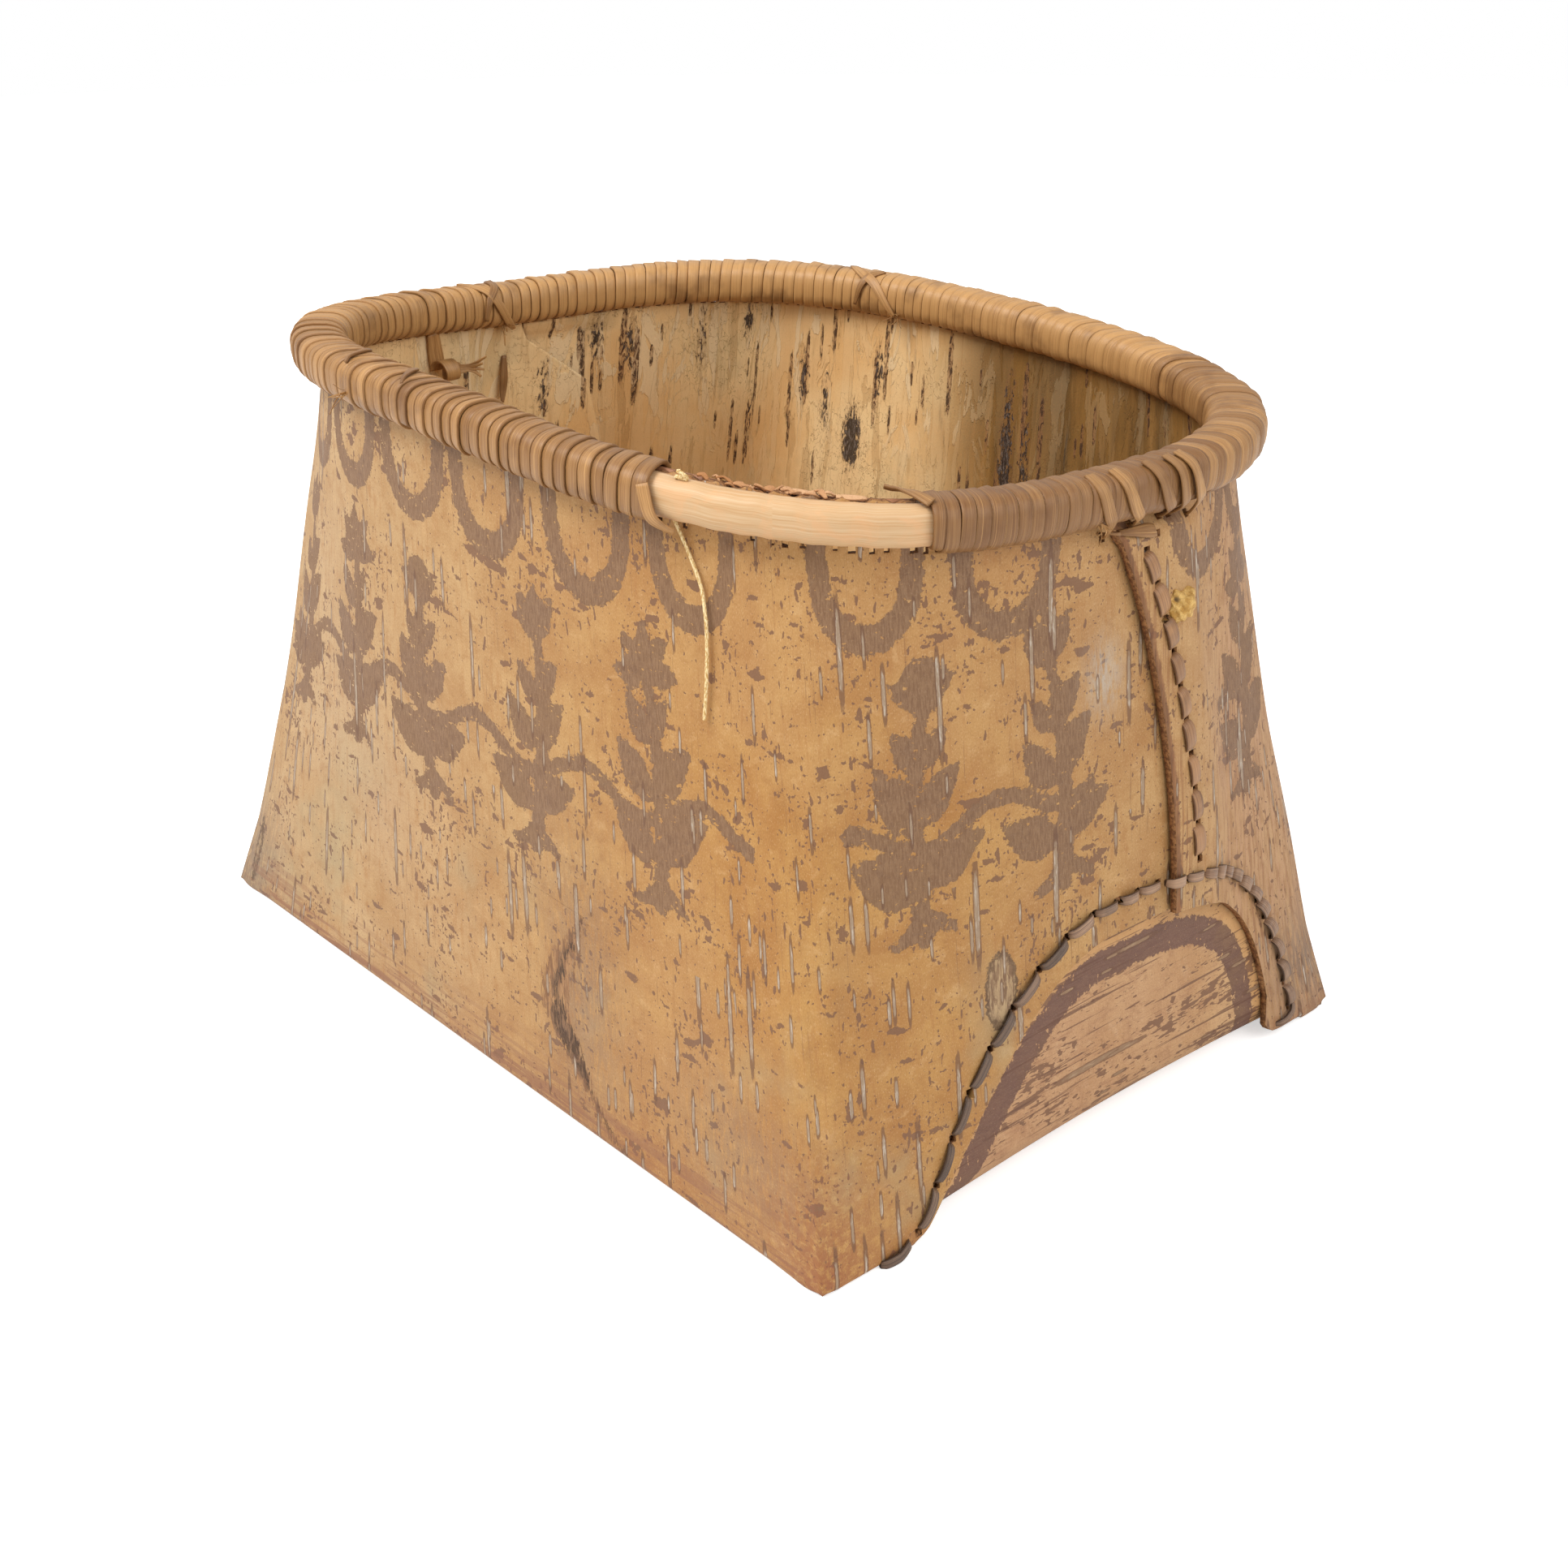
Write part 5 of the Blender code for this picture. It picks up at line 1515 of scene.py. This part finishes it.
def wall_tint(g, place, base, grain, hair):
    """A green cast low on the wall and the pinkish part of the sheet."""
    rosy = g.mark("rosy")
    green = g.noise(place, 16, 4, 0.6).band(0.50, 0.68) * g.part(place, 1).band(0.115, 0.035)
    green = green * g.math("SUBTRACT", 1.0, rosy, clamp=True)
    pink = g.blend(grain.band(0.42, 0.60), "B68C6A", "94694B")
    return base.coats((green * 0.50, "A59877"), (rosy * hair.band(0.40, 0.58, 0.35, 0.75), pink))


def bark_outer(pores, flecks, turned=False):
    """The scraped outer face. turned is for the tongues and floor, where the pores run across."""

    def paint(g):
        def pick(wall, tongue):
            return tongue if turned else wall

        place = g.place()
        cloud = g.noise(place, 34, 5, 0.62, 0.3)
        wide = g.noise(place, 8.5, 3, 0.5)
        blotch = g.noise(place, (110, 150), 6, 0.72, 0.4, (0, 3, 0))
        grain = g.noise(place, (520, 80), 4, 0.65, 0.2)
        hair = g.noise(place, (1000, 34), 3, 0.6, 0.2, (9, 0, 0))
        fine = g.noise(place, (2300, 1500), 2, 0.6)
        torn = g.noise(place, (330, 480), 4, 0.70, 0.5, turn=0.3)
        if turned:
            base = g.blend(cloud.band(0.32, 0.68), "B3875B", "C59D71")
            base = base.coats((wide.band(0.45, 0.70, 0, 0.5), "AE8262"))
        else:
            base = wall_tone(g, cloud, wide)
        base = base.coats(
            (blotch.band(0.50, 0.66, 0, 0.40), pick("9A6937", "8E6144")),
            (blotch.band(0.45, 0.33, 0, 0.35), pick("CCA472", "CCA781")),
            (hair.band(0.62, 0.72, 0, 0.50), "7C5436"),
            (grain.band(0.48, 0.75, 0, 0.60), pick("A57240", "94674C")),
            (fine.band(0.54, 0.70, 0, 0.34), "835A33"),
            (fine.band(0.44, 0.28, 0, 0.30), "DABB90"),
        )
        if turned:
            base = base.coats((g.mark("margin") * 0.55, "C4935A"))
        else:
            base = wall_tint(g, place, base, grain, hair)

        near = g.mark("figure").band(-16, -1)
        across = g.scaled(place, (1.7, 0.5, 1), turn=math.pi / 2) if turned else place
        given = {"Place": across, "Amount": pick(0.40, 0.72) + near * 0.16}
        speck = g.value("ShaderNodeGroup", given, node_tree=flecks)
        bits = g.noise(place, (300, 520), 3, 0.6, shift=(1, 2, 0)).band(0.62, 0.65)
        figure = (g.mark("figure") + (torn - 0.5) * 4.6 - bits * 3.4).band(-0.16, 0.16)
        weave = g.noise(place, (1500, 260), 3, 0.65)
        dark = g.blend(weave.band(0.35, 0.65), "74543C", "89694D")
        if turned:
            dark = dark.coats((0.75, "684840"))
        dark = dark.coats(
            (cloud.band(0.50, 0.72, 0, 0.5), "826346"),
            (fine.band(0.45, 0.30, 0, 0.30), "A0856C"),
        )
        base = base.coats((speck * 0.86, "76543F"), (figure * 0.95, dark))

        if turned:
            slit = g.noise(place, (520, 15), 3, 0.6, 0.2, (3, 0, 0), 0.05)
            base = base.coats((slit.band(0.590, 0.630, 0, 0.75), "654435"))
        else:
            base, sunk = wall_wear(g, place, base, (torn, grain, hair))
        many = pick(g.part(place, 1).band(0.06, 0.16, 0.62, 0.34), 0.30)
        pore = g.node("ShaderNodeGroup", {"Place": place, "Amount": many, "Small": 1.0}, node_tree=pores)[0]
        crust = g.noise(place, (1300, 160), 3, 0.7, shift=(7, 0, 0))
        core = g.blend(crust.band(0.50, 0.66), *pick(("9F8870", "C6B8A8"), ("937558", "AE9072")))
        base = base.coats((pore["Rim"] * 0.72, "6B4B38"), (pore["Middle"] * 0.85, core))
        height = fine * 0.6 + figure * 0.8 + pore["Rim"] * 0.9 + speck * 0.5
        if not turned:
            height = height + sunk
        return g.looks(base, height, 0.6, 0.00022, Roughness=cloud.band(0.3, 0.7, 0.52, 0.68))

    return surface("tongue bark" if turned else "scraped bark", paint, specular=0.30)


def bark_inner(pores):
    """The papery face inside the container, with short rows of dark pores, and painted shade towards its
    right end.
    """

    def paint(g):
        place = g.place()
        dim = g.mark("dim")
        cloud = g.noise(place, 18, 4, 0.62)
        shadow = g.noise(place, (60, 12), 4, 0.62, shift=(6, 2, 0))
        peel = g.noise(place, (64, 13), 6, 0.60, 0.8, (1, 1, 0))
        layer, deep = peel.band(0.500, 0.508), peel.band(0.400, 0.392)
        streak = g.noise(place, (240, 22), 5, 0.65, 0.3)
        hair = g.noise(place, (520, 26), 4, 0.65, 0.3, (2, 7, 0))
        shade_mottle = g.noise(place, (90, 14), 5, 0.68, 0.5, (8, 0, 0))
        pale = g.noise(place, (62, 18), 6, 0.60, 0.9, (3, 5, 0))
        paper = pale.band(0.570, 0.580) * g.part(place, 1).band(0.13, 0.175)
        lines = abs(g.noise(place, 160, 3, 0.6) - 0.5).band(0.008, 0.001) * cloud.band(0.50, 0.58)
        grit = g.noise(place, (620, 260), 4, 0.70, 0.6, (5, 3, 0))
        rows = g.scaled(place, (0.95, 1.1, 1), (0.4, 0, 0))
        rods = g.node("ShaderNodeGroup", {"Place": rows, "Amount": 0.95, "Small": 0.26}, node_tree=pores)[0]
        rod = rods["Rim"].most(rods["Middle"])
        pore = rod * grit.band(0.50, 0.56)
        fibre = g.noise(place, (900, 300), 5, 0.75, 0.8)
        knot_edge = g.mark("knot") + (grit - 0.54) * 15.0
        knot = knot_edge.band(-0.3, 0.3)
        fine = g.noise(place, (1900, 1100), 3, 0.6)
        base = g.blend(cloud.band(0.30, 0.70), "E8B87A", "F6D49C").coats(
            (g.noise(place, 12, 4, 0.65).band(0.55, 0.66, 0, 0.45), "BBA67C"),
            # Painted shade on the inner face where its mark is set, with the peeled layers and paper strips
            # kept faint there.
            (dim * 0.95, g.blend(shadow.band(0.36, 0.66), "5F4015", "845D27")),
            (layer * dim.band(0, 1, 0.20, 0.05), "EFD0A0"),
            (deep * dim.band(0, 1, 0.30, 0.10), "A5763F"),
            (streak.band(0.54, 0.70, 0, 0.36), "B58650"),
            (hair.band(0.60, 0.70, 0, 0.36), "986C40"),
            # A darker painted mottle within the painted shade.
            (dim * 0.75 * shade_mottle.band(0.58, 0.68), "4F463A"),
            (paper * dim.band(0, 1, 0.62, 0.09), "EFD5AA"),
            (lines * 0.55, "8A6036"),
            (rod * grit.band(0.36, 0.48, 0.15, 0.62), "8A5F40"),
            (pore * 0.84, "3E2C21"),
            (knot_edge.band(-2.2, -0.3, 0, 0.40), "8A5F3F"),
            (knot * 0.92, g.blend(fibre.band(0.45, 0.66), "2B211C", "7C7068")),
            (fine.band(0.56, 0.75, 0, 0.26), "80603F"),
        )
        height = fine * 0.5 + pore.most(knot) * (fibre + 0.6)
        for edge, rise in ((paper, 0.9), (layer, 0.8), (deep, -0.8), (lines, -0.6), (streak, 0.8)):
            height = height + edge * rise
        return g.looks(base, height, 0.7, 0.0004)

    return surface("papery bark", paint, 0.72, 0.22)


def bark_edge():
    """The cut edge, where the sheet's thin layers show."""

    def paint(g):
        where = g.point()
        layers, crumbs = g.noise(where, (900, 900, 900), 3, 0.6), g.noise(where, 2600, 2, 0.6)
        base = g.blend(layers.band(0.35, 0.65), "6C482E", "A37348")
        base = base.coats((crumbs.band(0.55, 0.7, 0, 0.7), "4E3626"))
        return g.looks(base, layers + crumbs, 0.7, 0.0003)

    return surface("bark edge", paint, 0.8, 0.2)


def torn_bark():
    """Orange-brown crumbs of torn bark."""

    def paint(g):
        crumbs = g.noise(g.point(), (1400, 1400, 1400), 4, 0.7)
        base = g.blend(g.mark("strip").band(-1.5, 1.5, 0, 1, "LINEAR"), "B07A4C", "D6AA80")
        return g.looks(base.coats((crumbs.band(0.54, 0.70, 0, 0.7), "86583A")), crumbs, 0.8, 0.0004)

    return surface("torn bark", paint, 0.75, 0.25)


def straw_wood():
    """Peeled bent wood, with fibres along the hoop and faint mottling across it."""

    def paint(g):
        place = g.place()
        fibre, hair = g.noise(place, (22, 55), 5, 0.65, 0.2), g.noise(place, (30, 210), 3, 0.6)
        base = g.blend(fibre.band(0.30, 0.70), "C39868", "D2B28A").coats(
            (g.noise(place, (75, 3), 4, 0.6, 0.8).band(0.45, 0.66, 0, 0.50), "DBA675"),
            (hair.band(0.62, 0.74, 0, 0.30), "BB8957"),
        )
        return g.looks(base, fibre + hair, 0.22, 0.00012)

    return surface("straw wood", paint, 0.46, 0.4)


def brown_wood():
    """Red-brown bent wood."""

    def paint(g):
        fibre = g.noise(g.place(), (40, 22), 5, 0.65, 0.2)
        return g.looks(g.blend(fibre.band(0.30, 0.70), "7A5038", "B07A55"), fibre, 0.4, 0.0002)

    return surface("red-brown wood", paint, 0.55, 0.3)


def root_skin(name, light, middle, dark, rough, edge):
    """Split root: fine fibres along the strip, each turn with its own shade, and painted shade along the
    strip's edges.
    """

    def paint(g):
        place, strip = g.place(), g.mark("strip")
        across = g.part(place, 1)
        stretched = {"X": g.part(place, 0) * 60, "Y": across * 38, "Z": strip * 3.7}
        where = g.value("ShaderNodeCombineXYZ", stretched)
        fibre = g.noise(where, 1, 4, 0.65, 0.15)
        hair = g.noise(where, (0.8, 3.4), 2, 0.5)
        groove = g.noise(where, (0.3, 1.6), 2, 0.5, shift=(5, 2, 1))
        tone = strip.band(-1.8, 1.8, 0, 1, "LINEAR")
        body = g.blend(fibre.band(0.30, 0.70), middle, light).coats(
            (tone.band(0.5, 0.0) * 0.72, dark),
            (tone.band(0.5, 1.0) * 0.70, light),
            (g.noise(g.point(), 70, 3, 0.6).band(0.50, 0.72, 0, 0.5), dark),
            (hair.band(0.60, 0.72, 0, 0.5), dark),
            # Painted shade along the strip's edges, where the turns meet.
            (abs(across - 0.35).band(0.140, 0.180, 0, edge), dark),
            (groove.band(0.60, 0.68, 0, 0.55), light),
        )
        return g.looks(body, fibre + hair, 0.4, 0.00018)

    return surface(name, paint, rough, 0.42)


def pitch_skin():
    """Ochre lump with fine cracks and a dark cavity."""

    def paint(g):
        where = g.point()
        lump = g.noise(where, 420, 4, 0.62)
        cracks = g.value("ShaderNodeTexVoronoi", {"Vector": g.scaled(where, (620, 620, 620)), "Scale": 1.0},
                         "Distance", feature="DISTANCE_TO_EDGE")
        base = g.blend(lump.band(0.35, 0.65), "B3853C", "D8B068").coats(
            (cracks.band(0.10, 0.0, 0, 0.35), "8A6430"),
            (g.mark("cavity").band(0.20, 0.45, 0, 0.8), "2E2118"),
        )
        return g.looks(base, lump, 0.8, 0.0006)

    return surface("dried pitch", paint, 0.62, 0.35)


def thread_skin():
    """Pale twisted fibre."""

    def paint(g):
        twist = g.noise(g.point(), (2600, 2600, 900), 2, 0.5)
        return g.looks(g.blend(twist.band(0.35, 0.65), "C29A5C", "EFD9A8"), twist, 0.6, 0.0002)

    return surface("plant thread", paint, 0.8, 0.2)


def pale_floor():
    """Nearly white paper that the camera sees lit up, so that only a soft shadow stays."""

    def paint(g):
        seen = g.value("ShaderNodeLightPath", (), "Is Camera Ray")
        base = g.blend(g.noise(g.point(), 6, 2).band(0.4, 0.6), "F4F4F3", "F6F6F5")
        return {"Base Color": base, "Emission Strength": seen * 0.55}

    return surface("pale floor", paint, 0.9, 0.1, **{"Emission Color": (1, 1, 1, 1)})


# Root materials: lighter, middle and darker colour, roughness, and how strongly painted shade darkens the
# strip's edges
ROOTS = {
    "split root": ("C6975F", "96693B", "684222", 0.42, 0.28),
    "stitching root": ("AE8A6C", "64493A", "2E211A", 0.30, 0.75),
    "seam root": ("B3855A", "8C6342", "5A3E2A", 0.38, 0.75),
}


# Operators and the panel


def look(name, make):
    """A material made once and found again by its name."""
    return bpy.data.materials.get(name) or make()


def bark_materials(turned=False):
    """The sheet's outer face, inner face and cut edge."""
    pores = bpy.data.node_groups.get("pores") or pore_group()
    flecks = bpy.data.node_groups.get("flecks") or fleck_group()
    return [
        look("tongue bark" if turned else "scraped bark", lambda: bark_outer(pores, flecks, turned)),
        look("papery bark", lambda: bark_inner(pores)),
        look("bark edge", bark_edge),
    ]


def root_material(name="split root"):
    return look(name, lambda: root_skin(name, *ROOTS[name]))


class MOCOCK_OT_stage(bpy.types.Operator):
    """Camera, pale floor and soft studio light"""

    bl_idname = "mocock.stage"
    bl_label = "Stage"

    def execute(self, context):
        s = context.scene.mocock_stage
        link = context.scene.collection.objects.link
        right = Vector((0.66260287, 0.74895464, -0.00493845))
        up = Vector((-0.34294629, 0.30925444, 0.88698903))
        ahead = Vector((-0.66584178, 0.58602785, -0.46176409))
        data = bpy.data.cameras.new("camera")
        data.sensor_width = 36.0
        data.lens = s.focal
        data.shift_x, data.shift_y = s.shift_x, s.shift_y
        data.clip_start, data.clip_end = 0.01, 20.0
        camera = bpy.data.objects.new("camera", data)
        turn = Matrix((right, up, -ahead)).transposed().to_4x4()
        camera.matrix_world = Matrix.Translation((0.490887, -0.411331, 0.360529)) @ turn
        link(camera)
        context.scene.camera = camera

        mesh = bpy.data.meshes.new("floor")
        with edited(mesh) as built:
            bmesh.ops.create_circle(built, cap_ends=True, radius=3.0, segments=96)
        mesh.transform(Matrix.Translation((0, 0, -0.0002)))
        mesh.materials.append(pale_floor())
        ground = bpy.data.objects.new("floor", mesh)
        link(ground)
        ground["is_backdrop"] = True

        for name, place, size, power in (
            ("key light", (-0.30, -1.05, 1.55), 0.9, s.key_power),
            ("fill light", (1.35, 0.35, 1.05), 1.4, s.fill_power),
        ):
            lamp = bpy.data.lights.new(name, "AREA")
            lamp.size = size
            lamp.energy = power
            holder = bpy.data.objects.new(name, lamp)
            holder.location = place
            aim = Vector((0, 0, 0.1)) - Vector(place)
            holder.rotation_euler = aim.to_track_quat("-Z", "Y").to_euler()
            link(holder)

        world = bpy.data.worlds.new("studio")
        world.use_nodes = True
        graph, nodes = Graph(world.node_tree), world.node_tree.nodes
        nodes["Background"].inputs["Color"].default_value = (1, 1, 1, 1)
        nodes["Background"].inputs["Strength"].default_value = s.sky
        ray = graph.value("ShaderNodeLightPath", (), "Is Camera Ray")
        lit = Value(graph, nodes["Background"].outputs[0])
        seen = graph.value("ShaderNodeBackground", {"Color": (1, 1, 1, 1), "Strength": 1.0})
        both = graph.value("ShaderNodeMixShader", {0: ray, 1: lit, 2: seen})
        graph.set(nodes["World Output"].inputs[0], both)
        context.scene.world = world
        context.scene.view_settings.view_transform = "Standard"
        return {"FINISHED"}


class MOCOCK_OT_thread(bpy.types.Operator):
    """Loose thread and its knot"""

    bl_idname = "mocock.thread"
    bl_label = "Thread"

    def execute(self, context):
        f, s = context.scene.mocock_form, context.scene.mocock_sewing
        fibre = look("plant thread", thread_skin)
        build_thread(f, s, "thread", fibre)
        build_knot(f, "thread_knot", fibre)
        return {"FINISHED"}


class MOCOCK_OT_bark(bpy.types.Operator):
    """Front and back wall with their flaps, floor with its tongues"""

    bl_idname = "mocock.bark"
    bl_label = "Bark"

    def execute(self, context):
        f, s = context.scene.mocock_form, context.scene.mocock_sewing
        half_y = f.half_y
        under, over = [], []
        both = (under, over)
        arch, seam = resample(*arch_holes(f, s)), resample(*seam_holes(f, s))
        for end, points, sheets in ((1, arch, both), (1, seam, both), (-1, arch, both), (-1, seam, (over,))):
            for y, z in points:
                half = 0.0013 if y < 0.045 else 0.0007
                for holes in sheets:
                    holes.append((y / half_y if end > 0 else 4 - y / half_y, z, half / half_y, half))
        for k, at in enumerate(AWL_PLACES):
            cx, cy = square(at)
            wide = (0.0011 + 0.0003 * math.sin(k * 2.3)) / (f.half_x if abs(cx) < 1 else half_y)
            for holes in both:
                z = float(band_z(f, cx, cy)) + 0.0014 + 0.0003 * math.sin(k * 1.7)
                holes.append((at, z, wide, 0.0010))
        for y, z in ((0.0023, 0.1867), (0.0222, 0.1848), *((y + 0.0004, z - 0.0006) for _, y, z in WEDGES)):
            holes = over if y > f.seam_top else under
            holes.append((y / half_y, z, 0.0012 / half_y, 0.0011))
        passes = root_passes(f, s)
        build_wall(f, "bark_front", False, under, passes, bark_materials())
        build_wall(f, "bark_back", True, over, passes, bark_materials())
        build_floor(f, "bark_floor", bark_materials(True))
        return {"FINISHED"}


class MOCOCK_OT_rim(bpy.types.Operator):
    """Hoops and the roots wound round them"""

    bl_idname = "mocock.rim"
    bl_label = "Rim"

    def execute(self, context):
        f, s = context.scene.mocock_form, context.scene.mocock_sewing
        build_hoop(f, "hoop_outside", True, "peeled_wood", "outer_hoop", straw_wood())
        build_hoop(f, "hoop_inside", False, "inner_wood", "inner_hoop", brown_wood())
        build_roots(f, s, root_material())
        build_ends(f, "root_ends", root_material())
        build_crumbs(f, "bark_crumbs", torn_bark())
        return {"FINISHED"}


class MOCOCK_OT_seams(bpy.types.Operator):
    """Stitches of the arches and upright seams, and their ties"""

    bl_idname = "mocock.seams"
    bl_label = "Seams"

    def execute(self, context):
        f, s = context.scene.mocock_form, context.scene.mocock_sewing
        arch, seam = root_material("stitching root"), root_material("seam root")
        for end in (1, -1):
            build_stitches(f, s, "arch", end, 2 * f.bark + 2 * f.gap, "stitching_root", 11, arch)
            build_stitches(f, s, "seam", end, f.bark if end > 0 else 0.0, "split_root", 21, seam)
            build_tie(f, end, root_material())
        return {"FINISHED"}


class MOCOCK_OT_trifles(bpy.types.Operator):
    """Pitch lump and curled root"""

    bl_idname = "mocock.trifles"
    bl_label = "Small things"

    def execute(self, context):
        f, s = context.scene.mocock_form, context.scene.mocock_sewing
        build_plug(f, s, "plug", pitch_skin())
        build_curl(f, s, "curl", root_material())
        return {"FINISHED"}


class MOCOCK_PT_panel(bpy.types.Panel):
    """Buttons for each group of pieces, and their sizes"""

    bl_idname = "MOCOCK_PT_panel"
    bl_label = "Mocock"
    bl_space_type = "VIEW_3D"
    bl_region_type = "UI"
    bl_category = "Mocock"

    def draw(self, context):
        for made in OPERATORS:
            self.layout.operator(made.bl_idname)
        for name in GROUPS:
            box = self.layout.box()
            values = getattr(context.scene, name)
            for key in type(values).__annotations__:
                box.prop(values, key)


OPERATORS = (
    MOCOCK_OT_stage,
    MOCOCK_OT_thread,
    MOCOCK_OT_bark,
    MOCOCK_OT_rim,
    MOCOCK_OT_seams,
    MOCOCK_OT_trifles,
)
GROUPS = {"mocock_form": MocockForm, "mocock_sewing": MocockSewing, "mocock_stage": MocockStage}


def register():
    for made in (*GROUPS.values(), *OPERATORS, MOCOCK_PT_panel):
        bpy.utils.register_class(made)
    for name, made in GROUPS.items():
        setattr(bpy.types.Scene, name, PointerProperty(type=made))


def unregister():
    for name in GROUPS:
        delattr(bpy.types.Scene, name)
    for made in reversed((*GROUPS.values(), *OPERATORS, MOCOCK_PT_panel)):
        bpy.utils.unregister_class(made)


def main():
    register()
    for name in ("stage", "thread", "bark", "rim", "seams", "trifles"):
        getattr(bpy.ops.mocock, name)()
    bpy.context.view_layer.update()
    boxes = {"cad": CAD_BOX, "visual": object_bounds()}
    {key: [list(corner) for corner in box] for key, box in boxes.items()}


if __name__ == "__main__":
    main()
